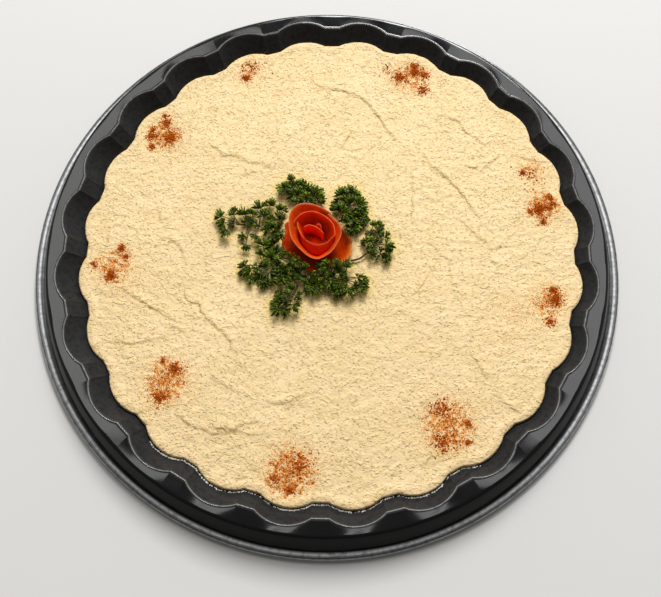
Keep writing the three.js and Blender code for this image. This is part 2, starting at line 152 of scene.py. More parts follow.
def bell(x: Array, y: Array, middle: Sequence[float], reach: float) -> Array:
    """Bell curve of the distance in plan from a middle: e^(-distance^2 / 2 reach^2)."""
    return np.exp(-((x - middle[0]) ** 2 + (y - middle[1]) ** 2) / (2.0 * reach**2))


def round_points(radius: Array | float, angle: Array, z: Array | float) -> Array:
    """Points given by their distance from an upright axis, angle and height."""
    return np.stack(np.broadcast_arrays(radius * np.cos(angle), radius * np.sin(angle), z), -1)


# ---- Meshes


def grid_faces(rows: int, columns: int, closed_columns: bool = False) -> Array:
    """Quads between neighbouring points of a grid that is numbered row by row.

    Args:
        rows: number of rows.
        columns: number of points in a row.
        closed_columns: whether the end of each row joins its start.

    Returns:
        One row of four point numbers for each quad.
    """
    start = np.arange(rows - 1)[:, None] * columns
    here = np.arange(columns if closed_columns else columns - 1)[None, :]
    after = (here + 1) % columns
    corners = (start + here, start + after, start + columns + after, start + columns + here)
    return np.stack(np.broadcast_arrays(*corners), -1).reshape(-1, 4)


def tube_faces(rings: int, count: int) -> list[Array]:
    """Faces of a closed tube: quads between its rings, and triangles round a pole at each end.

    Args:
        rings: number of rings; their points are numbered first, and then the two poles.
        count: number of points in a ring.

    Returns:
        Rows of four point numbers, and rows of three.
    """
    ring = np.arange(count)
    after, last, pole = (ring + 1) % count, (rings - 1) * count, np.full(count, rings * count)
    first_end = np.stack([after, ring, pole], -1)
    last_end = np.stack([last + ring, last + after, pole + 1], -1)
    return [grid_faces(rings, count, closed_columns=True), np.vstack([first_end, last_end])]


def repeat_faces(faces: Array, copies: int, points_each: int) -> Array:
    """The same faces for several copies of a set of points that follow each other."""
    shift = (np.arange(copies) * points_each)[:, None, None]
    return (faces[None] + shift).reshape(-1, faces.shape[1])


class Crumb(Enum):
    """Shape of a crumb before it is made uneven: eight sides, or four for the finest."""

    EIGHT = (
        ((1, 0, 0), (0, 1, 0), (-1, 0, 0), (0, -1, 0), (0, 0, 1), (0, 0, -1)),
        ((0, 1, 4), (1, 2, 4), (2, 3, 4), (3, 0, 4), (1, 0, 5), (2, 1, 5), (3, 2, 5), (0, 3, 5)),
    )
    FOUR = (
        ((1.1, 0, -0.4), (-0.55, 0.95, -0.4), (-0.55, -0.95, -0.4), (0, 0, 1.0)),
        ((0, 1, 3), (1, 2, 3), (2, 0, 3), (1, 0, 2)),
    )


CRUMB_SCALES = (0.6, 1.15)
CRUMB_SHAKE = 0.16
CRUMB_HEIGHT = 0.7


def crumbs(centre: Array, radius: Array, shape: Crumb, rng: np.random.Generator) -> tuple[Array, Array]:
    """Uneven crumbs, each turned at random about the upright.

    Each crumb is stretched at random along each axis and its corners are shaken. It is pressed a
    little flat, and (x, y) becomes (x cos - y sin, x sin + y cos).

    Args:
        centre: middles of the crumbs, one row each.
        radius: their radii.
        shape: how many sides they have.
        rng: source of random numbers.

    Returns:
        Points and faces.
    """
    count = len(centre)
    corners, sides = np.array(shape.value[0], float), np.array(shape.value[1])
    uneven = corners[None] * rng.uniform(*CRUMB_SCALES, (count, 1, 3))
    uneven += rng.normal(0.0, CRUMB_SHAKE, (count, len(corners), 3))
    uneven[:, :, 2] *= CRUMB_HEIGHT
    turn = rng.uniform(0.0, 2.0 * np.pi, count)
    cos, sin = np.cos(turn)[:, None], np.sin(turn)[:, None]
    x, y = uneven[..., 0] * cos - uneven[..., 1] * sin, uneven[..., 0] * sin + uneven[..., 1] * cos
    points = np.stack([x, y, uneven[..., 2]], -1) * radius[:, None, None] + centre[:, None, :]
    return points.reshape(-1, 3), repeat_faces(sides, count, len(corners))


def make_piece(
    name: str,
    points: Array,
    faces: list[Array],
    material: bpy.types.Material,
    attributes: dict[str, Array] | None = None,
) -> bpy.types.Object:
    """Smooth-shaded mesh object that rides on the part's body.

    Args:
        name: name of the object and its mesh.
        points: places in millimetres, one row a point.
        faces: blocks of faces, each with its own number of corners.
        material: its finish.
        attributes: numbers to keep at the points, by name.

    Returns:
        The new object, at the origin.
    """
    mesh = bpy.data.meshes.new(name)
    corners = np.concatenate([block.ravel() for block in faces]).astype(np.int32)
    sizes = np.concatenate([np.full(len(block), block.shape[1]) for block in faces])
    starts = np.concatenate([[0], np.cumsum(sizes)[:-1]]).astype(np.int32)
    mesh.vertices.add(len(points))
    mesh.vertices.foreach_set("co", (points * MM).astype(np.float32).ravel())
    mesh.loops.add(len(corners))
    mesh.loops.foreach_set("vertex_index", corners)
    mesh.polygons.add(len(sizes))
    mesh.polygons.foreach_set("loop_start", starts)
    mesh.update(calc_edges=True)
    mesh.validate()
    mesh.polygons.foreach_set("use_smooth", np.ones(len(mesh.polygons), bool))
    for key, values in (attributes or {}).items():
        layer = mesh.attributes.new(key, "FLOAT", "POINT")
        layer.data.foreach_set("value", np.asarray(values, np.float32).ravel())
    mesh.materials.append(material)
    piece = bpy.data.objects.new(name, mesh)
    bpy.context.scene.collection.objects.link(piece)
    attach(piece, BODY)
    LOG.info("%s: %d points, %d faces", name, len(points), len(sizes))
    return piece


# ---- Finishes


class NodeKit:
    """Adds and wires the nodes of one material or one node group."""

    def __init__(self, tree: bpy.types.NodeTree) -> None:
        """Starts on a node tree."""
        self.tree = tree

    def add(self, kind: str, values: dict[str, object] | None = None, **settings: object) -> bpy.types.Node:
        """New node.

        Args:
            kind: Blender's name for the node.
            values: values or source sockets for its inputs, by name or number.
            settings: its own settings, such as the operation.

        Returns:
            The node.
        """
        node = self.tree.nodes.new(kind)
        for key, value in settings.items():
            setattr(node, key, value)
        self.fill(node, values or {})
        return node

    def fill(self, node: bpy.types.Node, values: dict[str, object]) -> None:
        """Sets or wires inputs of a node.

        Args:
            node: the node.
            values: values or source sockets for its inputs, by name or number.
        """
        for key, value in values.items():
            if isinstance(value, Socket):
                self.tree.links.new(value, node.inputs[key])
            else:
                node.inputs[key].default_value = value

    def mix(self, factor: object, low: object, high: object, blend: str = "MIX") -> Socket:
        """Colour between two colours, by a factor from 0 to 1."""
        low, high = (v if isinstance(v, Socket) else (*v, 1.0) for v in (low, high))
        node = self.add("ShaderNodeMix", {0: factor, 6: low, 7: high}, data_type="RGBA", blend_type=blend)
        return node.outputs[2]

    def math(self, operation: str, *terms: object) -> Socket:
        """Result of one sum on numbers or sockets."""
        return self.add("ShaderNodeMath", dict(enumerate(terms)), operation=operation).outputs[0]

    def times(self, left: object, right: object) -> Socket:
        """Product of two numbers or sockets."""
        return self.math("MULTIPLY", left, right)

    def combine(self, operation: str, parts: list[tuple[Socket, float]]) -> Socket:
        """Parts times their weights, joined one after another by an operation."""
        weighted = [self.times(part, weight) for part, weight in parts]
        return reduce(lambda joined, part: self.math(operation, joined, part), weighted)

    def span(self, value: object, low: float, high: float, start: float = 0.0, end: float = 1.0) -> Socket:
        """Value carried from the range low to high onto start to end, and held there."""
        given = {0: value, 1: low, 2: high, 3: start, 4: end}
        return self.add("ShaderNodeMapRange", given, interpolation_type="SMOOTHSTEP").outputs[0]

    def attribute(self, name: str) -> Socket:
        """Number that the mesh keeps at its points."""
        return self.add("ShaderNodeAttribute", attribute_name=name).outputs["Fac"]

    def group(self, group: bpy.types.NodeTree, values: dict[str, object]) -> bpy.types.Node:
        """Placed copy of a node group with its own values."""
        return self.add("ShaderNodeGroup", values, node_tree=group)

    def place(self) -> Socket:
        """Place on the object, in metres."""
        return self.add("ShaderNodeTexCoord").outputs["Object"]

    def noise(self, place: Socket, scale: object, detail: float, roughness: float = 0.5) -> bpy.types.Node:
        """Noise field with scale features a metre, at a place."""
        values = {"Vector": place, "Scale": scale, "Detail": detail, "Roughness": roughness}
        return self.add("ShaderNodeTexNoise", values)

    def bump(self, height: object, strength: float, distance: float) -> Socket:
        """Normal bent by a height, of which 1 stands for a distance in metres."""
        values = {"Strength": strength, "Distance": distance, "Height": height}
        return self.add("ShaderNodeBump", values).outputs[0]


def new_group(
    name: str, inputs: dict[str, float], outputs: list[str]
) -> tuple[NodeKit, bpy.types.Node, bpy.types.Node]:
    """Empty shader node group.

    Args:
        name: name of the group.
        inputs: its number inputs and what they hold until they are set.
        outputs: names of its number outputs.
    """
    tree = bpy.data.node_groups.new(name, "ShaderNodeTree")
    for key, value in inputs.items():
        tree.interface.new_socket(key, in_out="INPUT", socket_type="NodeSocketFloat").default_value = value
    for key in outputs:
        tree.interface.new_socket(key, in_out="OUTPUT", socket_type="NodeSocketFloat")
    kit = NodeKit(tree)
    return kit, kit.add("NodeGroupInput"), kit.add("NodeGroupOutput")


def mottle_group() -> bpy.types.NodeTree:
    """Slow, soft variation over an object, from 0 to 1, with features of the given size.

    Returns:
        The node group.
    """
    kit, given, result = new_group("soft_mottle", {"Features per metre": 60.0, "Contrast": 1.0}, ["Mottle"])
    field = kit.noise(kit.place(), given.outputs[0], 3.0, 0.55)
    centred = kit.math("SUBTRACT", field.outputs[0], 0.5)
    scaled = kit.times(centred, given.outputs[1])
    kit.fill(result, {0: kit.math("ADD", scaled, 0.5)})
    return kit.tree


def grain_group() -> bpy.types.NodeTree:
    """Fine grain with scattered pits: a height for bumps, and a mask that is 1 in the pits.

    The height is one noise field. A pit lies where a second field is over 0.72 - 0.3 share.

    Returns:
        The node group.
    """
    defaults = {"Grains per metre": 600.0, "Pits per metre": 330.0, "Pit share": 0.4}
    kit, given, result = new_group("grain_and_pits", defaults, ["Height", "Pits"])
    place = kit.place()
    grain = kit.noise(place, given.outputs[0], 3.0, 0.6)
    field = kit.noise(place, given.outputs[1], 2.0)
    edge = kit.math("SUBTRACT", 0.72, kit.times(given.outputs[2], 0.3))
    low = kit.math("SUBTRACT", field.outputs[0], edge)
    pits = kit.span(kit.times(low, 7.0), 0.0, 1.0)
    height = kit.math("SUBTRACT", grain.outputs[0], kit.times(pits, 0.9))
    kit.fill(result, {0: height, 1: pits})
    return kit.tree


def flake_group() -> bpy.types.NodeTree:
    """Short torn lips in a soft paste.

    Along the lines where one noise field passes its mean the height steps from 0 to 1. A second
    field fades the steps in and out, so that they are short arcs. The edge mask is 1 just below
    each step.

    Returns:
        The node group.
    """
    defaults = {"Flakes per metre": 260.0, "Share": 0.5, "Step": 0.02, "Drawn out": 0.55}
    kit, given, result = new_group("torn_flakes", defaults, ["Height", "Edge"])
    place = kit.place()
    bend = kit.noise(place, 70.0, 2.0).outputs["Color"]
    shift = kit.add("ShaderNodeVectorMath", {0: bend, 1: (0.012, 0.016, 0.0)}, operation="MULTIPLY")
    bent = kit.add("ShaderNodeVectorMath", {0: place, 1: shift.outputs[0]}, operation="ADD").outputs[0]
    stretch = kit.add("ShaderNodeCombineXYZ", {0: given.outputs[3], 1: 1.0, 2: 1.0}).outputs[0]
    drawn = kit.add("ShaderNodeVectorMath", {0: bent, 1: stretch}, operation="MULTIPLY").outputs[0]
    lines = kit.noise(drawn, given.outputs[0], 1.0, 0.4).outputs[0]
    away = kit.add("ShaderNodeVectorMath", {0: drawn, 1: (0.37, 0.11, 0.0)}, operation="ADD").outputs[0]
    patches = kit.noise(away, kit.times(given.outputs[0], 0.8), 1.0).outputs[0]
    start = kit.math("SUBTRACT", 0.68, kit.times(given.outputs[1], 0.28))
    shown = kit.span(kit.math("SUBTRACT", patches, start), 0.0, 0.09)
    off = kit.math("DIVIDE", kit.math("SUBTRACT", lines, 0.5), given.outputs[2])
    step = kit.span(off, -1.0, 1.0)
    below = kit.math("ABSOLUTE", kit.math("ADD", off, 1.1))
    line = kit.math("SUBTRACT", 1.0, kit.span(below, 0.2, 1.9))
    kit.fill(result, {0: kit.times(step, shown), 1: kit.times(line, shown)})
    return kit.tree


class Effects:
    """The shared node groups, each made once."""

    def __init__(self) -> None:
        """Builds every group."""
        self.mottle = mottle_group()
        self.grain = grain_group()
        self.flakes = flake_group()


def new_material(name: str) -> tuple[bpy.types.Material, NodeKit, bpy.types.Node]:
    """Material with a Principled surface.

    Args:
        name: name of the material.
    """
    material = bpy.data.materials.new(name)
    material.use_nodes = True
    return material, NodeKit(material.node_tree), material.node_tree.nodes["Principled BSDF"]


@dataclass(frozen=True)
class TrayFinish:
    """Black moulded sheet with a high gloss, a little dust, and pale lines along the bead and lip that are
    scuffs and painted highlights.
    """

    colour: Colour = (0.0045, 0.0045, 0.0045)
    dust: Colour = (0.035, 0.035, 0.034)
    # Pale colour of the scuffs and of the painted highlight lines on the bead and lip.
    highlight_scuff: Colour = (0.80, 0.80, 0.82)
    roughness: float = 0.1

    def build(self, effects: Effects) -> bpy.types.Material:
        """Material of the tray.

        One attribute says where pale lines lie along the bead and lip, scuffs and painted highlights, and
        "gloss" how much the sheet shines.

        Args:
            effects: the shared node groups.

        Returns:
            The material.
        """
        material, kit, surface = new_material("black_moulded_sheet")
        haze = kit.group(effects.mottle, {"Features per metre": 90.0, "Contrast": 1.4}).outputs[0]
        fine = kit.group(effects.mottle, {"Features per metre": 340.0, "Contrast": 1.6}).outputs[0]
        fleck_sizes = {"Grains per metre": 900.0, "Pits per metre": 1500.0, "Pit share": 0.1}
        flecks = kit.group(effects.grain, fleck_sizes).outputs[1]
        dusty = kit.mix(kit.times(flecks, 0.35), self.colour, self.dust)
        # Pale lines along the bead and lip: painted highlights, broken up like scuffs.
        scuff_and_highlight = kit.times(kit.attribute("scuff_and_highlight"), kit.span(fine, 0.15, 0.65, 0.55, 1.0))
        kit.fill(surface, {
            "Base Color": kit.mix(scuff_and_highlight, dusty, self.highlight_scuff),
            "Roughness": kit.span(haze, 0.2, 0.8, self.roughness - 0.04, self.roughness + 0.09),
            "Normal": kit.bump(haze, 0.12, 0.0006),
            "Specular IOR Level": 0.03,
            "Coat Weight": kit.attribute("gloss"),
            "Coat Roughness": self.roughness,
        })
        return material


@dataclass(frozen=True)
class HummusFinish:
    """Pale, soft paste: torn flakes, fine grain and a rusty stain under the paprika, with painted shade in
    creases, pits and under torn lips, painted shadow lines at the marks and a painted shadow tint round the
    leaves and rose.
    """

    name: str = "smooth_hummus"
    colour: Colour = (0.843, 0.638, 0.352)
    drift: Colour = (0.80, 0.60, 0.31)
    # Painted shade: darker, more saturated paste under torn lips, in pits and in the troughs of the marks.
    painted_shading: Colour = (0.57, 0.375, 0.05)
    # Painted shadow: the thin dark line at the foot of each mark's lip.
    shadow_line: Colour = (0.25, 0.13, 0.004)
    # Painted shade: more saturated paste round the leaves and the rose, where their shadows fall.
    leaf_shadow_tint: Colour = (0.80, 0.585, 0.17)
    stain: Colour = (0.86, 0.44, 0.08)
    dust_dark: Colour = (0.36, 0.06, 0.003)
    dust_bright: Colour = (0.84, 0.32, 0.03)
    bump: float = 0.73

    def build(self, effects: Effects) -> bpy.types.Material:
        """Material of the hummus.

        The painted shade colour lies below torn edges, in pits and in the troughs of the marks, and the
        painted shadow colour on the thin line at the foot of each mark.

        Args:
            effects: the shared node groups.

        Returns:
            The material.
        """
        material, kit, surface = new_material(self.name)
        drift = kit.group(effects.mottle, {"Features per metre": 45.0, "Contrast": 1.0}).outputs[0]
        grain_sizes = {"Grains per metre": 520.0, "Pits per metre": 560.0, "Pit share": 0.5}
        wide_sizes = {"Flakes per metre": 190.0, "Share": 0.42, "Step": 0.03, "Drawn out": 0.6}
        small_sizes = {"Flakes per metre": 430.0, "Share": 0.5, "Step": 0.06, "Drawn out": 0.75}
        grain, pits = kit.group(effects.grain, grain_sizes).outputs
        wide, wide_edge = kit.group(effects.flakes, wide_sizes).outputs
        small, small_edge = kit.group(effects.flakes, small_sizes).outputs
        lip, line = self.lips(kit)
        base = kit.mix(kit.span(drift, 0.3, 0.7), self.colour, self.drift)
        # Painted shadow tint round the leaves and the rose.
        leaf_shadow_tinted = kit.mix(kit.times(kit.attribute("leaf_shadow_tint"), 0.9), base, self.leaf_shadow_tint)
        # Painted shade: torn edges, pits and the troughs of the marks darken the paste.
        painted_shade_masks = [(wide_edge, 0.26), (small_edge, 0.13), (pits, 0.2), (kit.attribute("crease_shade"), 0.5)]
        soft = kit.mix(kit.combine("MAXIMUM", painted_shade_masks), leaf_shadow_tinted, self.painted_shading)
        # Painted shadow line at the foot of each mark.
        with_shadow_lines = kit.mix(kit.times(line, 0.85), soft, self.shadow_line)
        heights = [(wide, 0.55), (small, 0.34), (grain, 1.5), (lip, 0.3), (line, -0.2)]
        kit.fill(surface, {
            "Base Color": self.dusted(kit, with_shadow_lines),
            "Roughness": 0.6,
            "Normal": kit.bump(kit.combine("ADD", heights), self.bump, 0.0006),
            "Specular IOR Level": 0.3,
            "Subsurface Weight": 0.08,
            "Subsurface Radius": (1.0, 0.62, 0.3),
            "Subsurface Scale": 0.0008,
        })
        return material

    def lips(self, kit: NodeKit) -> tuple[Socket, Socket]:
        """Sharp torn lips along the spreading marks.

        The mesh keeps each point's distance to the nearest mark, minus on its low side, in
        millimetres. Fine noise is added to it, so that the lip is ragged.

        Returns:
            A height that steps from 0 to 1 at the mark, and a mask that is 1 on a thin line at
            the foot of the step, where a shadow line is painted. Both fade with the strength of the mark.
        """
        place = kit.place()
        ragged = kit.noise(place, 340.0, 4.0, 0.65).outputs[0]
        gap = kit.math("ADD", kit.attribute("lip_gap"), kit.span(ragged, 0.2, 0.8, -0.95, 0.95))
        patchy = kit.noise(place, 120.0, 3.0).outputs[0]
        size = kit.times(kit.attribute("lip_size"), kit.span(patchy, 0.44, 0.6, 0.06, 1.0))
        off = kit.math("ABSOLUTE", kit.math("ADD", gap, 0.4))
        line = kit.math("SUBTRACT", 1.0, kit.span(off, 0.14, 0.56))
        return kit.times(kit.span(gap, -0.4, 0.4), size), kit.times(line, size)

    def dusted(self, kit: NodeKit, paste: Socket) -> Socket:
        """Colour of the paste under the finest paprika dust and the oil that it gives off.

        The attribute "stain" says how much dust lies at each point. Fine noise above a threshold
        of 0.76 - 0.4 dust is a speck, and the paste between the specks takes 0.42 of the stain.

        Args:
            paste: colour of the paste without dust.

        Returns:
            The colour with dust.
        """
        place = kit.place()
        amount = kit.attribute("stain")
        threshold = kit.math("SUBTRACT", 0.76, kit.times(amount, 0.4))
        above = kit.math("SUBTRACT", kit.noise(place, 1250.0, 2.0).outputs[0], threshold)
        specks = kit.times(kit.span(above, -0.02, 0.05), kit.span(amount, 0.02, 0.2))
        tone = kit.span(kit.noise(place, 700.0, 1.0).outputs[0], 0.35, 0.65)
        tinted = kit.mix(kit.times(amount, 0.42), paste, self.stain)
        return kit.mix(specks, tinted, kit.mix(tone, self.dust_dark, self.dust_bright))


@dataclass(frozen=True)
class PaprikaFinish:
    """Dry ground paprika, from dark red-brown to bright rust."""

    dark: Colour = (0.30, 0.042, 0.002)
    bright: Colour = (0.72, 0.20, 0.012)

    def build(self) -> bpy.types.Material:
        """Material of the paprika."""
        material, kit, surface = new_material("ground_paprika")
        tone = kit.mix(kit.attribute("tint"), self.dark, self.bright)
        kit.fill(surface, {"Base Color": tone, "Roughness": 0.9, "Specular IOR Level": 0.02})
        return material


@dataclass(frozen=True)
class TomatoFinish:
    """Wet tomato peel: skin outside, flesh inside, and a pale cut edge."""

    flesh: Colour = (0.94, 0.064, 0.003)
    skin: Colour = (0.72, 0.024, 0.0)
    blush: Colour = (0.385, 0.046, 0.003)
    cut: Colour = (0.78, 0.27, 0.11)
    ripe_edge: Colour = (0.62, 0.24, 0.025)
    # Darker colour that the "saucer" attribute mixes in: painted shade deep in the rose and over the whole
    # saucer.
    saucer: Colour = (0.33, 0.022, 0.0)

    def build(self, effects: Effects) -> bpy.types.Material:
        """Material of the tomato peel.

        The attributes say where the skin is, how far down in the rose or saucer a point lies, which darkens
        it as painted shade, and where the peel is blushed, ripe at its edge or cut.

        Args:
            effects: the shared node groups.

        Returns:
            The material.
        """
        material, kit, surface = new_material("wet_tomato_peel")
        drift = kit.group(effects.mottle, {"Features per metre": 190.0, "Contrast": 1.3}).outputs[0]
        fine = kit.group(effects.mottle, {"Features per metre": 900.0, "Contrast": 1.5}).outputs[0]
        grain_sizes = {"Grains per metre": 1500.0, "Pits per metre": 900.0, "Pit share": 0.2}
        grain = kit.group(effects.grain, grain_sizes).outputs[0]
        # Painted shade: low in the rose and over the saucer the peel darkens.
        deep = kit.times(kit.attribute("saucer"), kit.span(fine, 0.2, 0.8, 0.7, 1.0))
        warm = kit.times(kit.attribute("blush"), kit.span(drift, 0.25, 0.75, 0.6, 1.0))
        warm = kit.times(warm, kit.span(fine, 0.2, 0.8, 0.75, 1.0))
        colour = kit.mix(kit.attribute("skin"), self.flesh, self.skin)
        colour = kit.mix(deep, colour, self.saucer)
        colour = kit.mix(warm, colour, self.blush)
        colour = kit.mix(kit.attribute("ripe"), colour, self.ripe_edge)
        kit.fill(surface, {
            "Base Color": kit.mix(kit.attribute("cut"), colour, self.cut),
            "Roughness": kit.span(drift, 0.2, 0.8, 0.34, 0.5),
            "Normal": kit.bump(grain, 0.22, 0.00025),
            "Specular IOR Level": 0.015,
            "Subsurface Weight": 0.5,
            "Subsurface Radius": (1.0, 0.25, 0.1),
            "Subsurface Scale": 0.0045,
        })
        return material


@dataclass(frozen=True)
class ParsleyFinish:
    """Waxy curly leaf with painted shade in the folds and on low leaves and painted light at the tips, on a
    paler stalk.
    """

    # deep is painted shade in the folds and under low leaves, tip is painted light on the tips of the lobes.
    deep: Colour = (0.006, 0.013, 0.0)
    leaf: Colour = (0.076, 0.124, 0.0)
    tip: Colour = (0.37, 0.41, 0.035)
    stalk: Colour = (0.050, 0.040, 0.006)

    def build(self, effects: Effects) -> bpy.types.Material:
        """Material of the parsley.

        The attribute "reach" runs from the foot of a leaf to its tip, and "stalk" is 1 on stalks. Low reach
        takes the deep colour, painted shade, and high reach the tip colour, painted light.

        Args:
            effects: the shared node groups.

        Returns:
            The material.
        """
        material, kit, surface = new_material("curly_parsley")
        drift = kit.group(effects.mottle, {"Features per metre": 420.0, "Contrast": 1.5}).outputs[0]
        grain_sizes = {"Grains per metre": 1150.0, "Pits per metre": 900.0, "Pit share": 0.3}
        grain = kit.group(effects.grain, grain_sizes).outputs[0]
        reach = kit.times(kit.attribute("reach"), kit.span(drift, 0.2, 0.8, 0.55, 1.15))
        # Painted shade in the folds, painted light at the tips.
        folds = kit.mix(kit.span(reach, 0.05, 0.6), self.deep, self.leaf)
        tone_and_tip_light = kit.mix(kit.span(reach, 0.62, 1.15), folds, self.tip)
        kit.fill(surface, {
            "Base Color": kit.mix(kit.attribute("stalk"), tone_and_tip_light, self.stalk),
            "Roughness": kit.span(drift, 0.2, 0.8, 0.35, 0.55),
            "Normal": kit.bump(grain, 0.75, 0.0006),
            "Specular IOR Level": 0.08,
            "Coat Weight": 0.4,
            "Coat Roughness": 0.12,
            "Subsurface Weight": 0.05,
            "Subsurface Radius": (0.3, 1.0, 0.15),
            "Subsurface Scale": 0.0008,
        })
        return material


@dataclass(frozen=True)
class FloorFinish:
    """Plain pale matt floor."""

    colour: Colour = (0.66, 0.65, 0.63)

    def build(self) -> bpy.types.Material:
        """Material of the floor."""
        material, kit, surface = new_material("pale_floor")
        kit.fill(surface, {"Base Color": (*self.colour, 1.0), "Roughness": 0.9, "Specular IOR Level": 0.1})
        return material


# ---- Tray


@dataclass(frozen=True)
class FlutedWall:
    """Sloping wall of the tray: straight lands with lobes between them that bow outwards."""

    flutes: int = 24
    first_land_deg: float = -1.5
    land_half_deg: float = 1.8
    floor_z: float = 1.2
    rim_z: float = 20.2
    rim_land_r: float = 178.6
    rim_lobe_r: float = 184.4
    floor_land_r: float = 162.0
    floor_lobe_r: float = 166.3
    rib_height: float = 0.26
    rib_width: float = 0.42
    crowding: float = 0.13

    def angles(self, land_steps: int, lobe_steps: int) -> Array:
        """Angles in radians round the tray, crowded at the corners between lands and lobes.

        Even steps t from 0 to 1 over each land and each lobe become t - crowding sin(2 pi t).

        Args:
            land_steps: steps over a land.
            lobe_steps: steps over a lobe.

        Returns:
            The angles in order.
        """
        pitch = 360.0 / self.flutes
        even = [np.arange(steps) / steps for steps in (land_steps, lobe_steps)]
        land, lobe = (t - self.crowding * np.sin(2.0 * np.pi * t) for t in even)
        wide = 2.0 * self.land_half_deg
        start = self.first_land_deg - self.land_half_deg + np.arange(self.flutes)[:, None] * pitch
        return np.radians(start + np.concatenate([land * wide, wide + lobe * (pitch - wide)])).ravel()

    def off_land(self, angle: Array) -> Array:
        """Degrees from each angle to the middle of the land that is nearest to it."""
        half_pitch = 180.0 / self.flutes
        turn = np.degrees(angle) - self.first_land_deg + half_pitch
        return np.abs(np.mod(turn, 2.0 * half_pitch) - half_pitch)

    def ribs(self, angle: Array) -> Array:
        """Thin rib at each corner, as height off the wall: a bell curve of the distance from it."""
        away = np.radians(self.off_land(angle) - self.land_half_deg) * self.rim_land_r
        return self.rib_height * np.exp(-((away / self.rib_width) ** 2))

    def outline(self, angle: Array, land_r: float, lobe_r: float) -> Array:
        """Distance of a fluted outline from the axis.

        A land is a straight chord, so its distance is land_r cos(half land) / cos(angle off the
        land). A lobe is an arc through the ends of its neighbours that reaches lobe_r half-way:
        its radius is (half chord^2 + bow^2) / 2 bow.

        Args:
            angle: angles round the tray in radians.
            land_r: distance of the ends of a land.
            lobe_r: distance of the middle of a lobe.

        Returns:
            Distances in the shape of angle.
        """
        half_pitch, off_land = 180.0 / self.flutes, self.off_land(angle)
        land = land_r * math.cos(math.radians(self.land_half_deg)) / np.cos(np.radians(off_land))
        corner = math.radians(half_pitch - self.land_half_deg)
        half_chord, bow = land_r * math.sin(corner), lobe_r - land_r * math.cos(corner)
        arc_r = (half_chord**2 + bow**2) / (2.0 * bow)
        centre = lobe_r - arc_r
        off_lobe = np.radians(half_pitch - off_land)
        lobe = centre * np.cos(off_lobe) + np.sqrt(arc_r**2 - (centre * np.sin(off_lobe)) ** 2)
        return np.where(off_land <= self.land_half_deg, land, lobe)

    def radius(self, angle: Array, z: Array | float) -> Array:
        """Distance of the inside of the wall from the axis, on straight lines from floor to rim."""
        rim = self.outline(angle, self.rim_land_r, self.rim_lobe_r)
        floor = self.outline(angle, self.floor_land_r, self.floor_lobe_r)
        return floor + (rim - floor) * (z - self.floor_z) / (self.rim_z - self.floor_z)


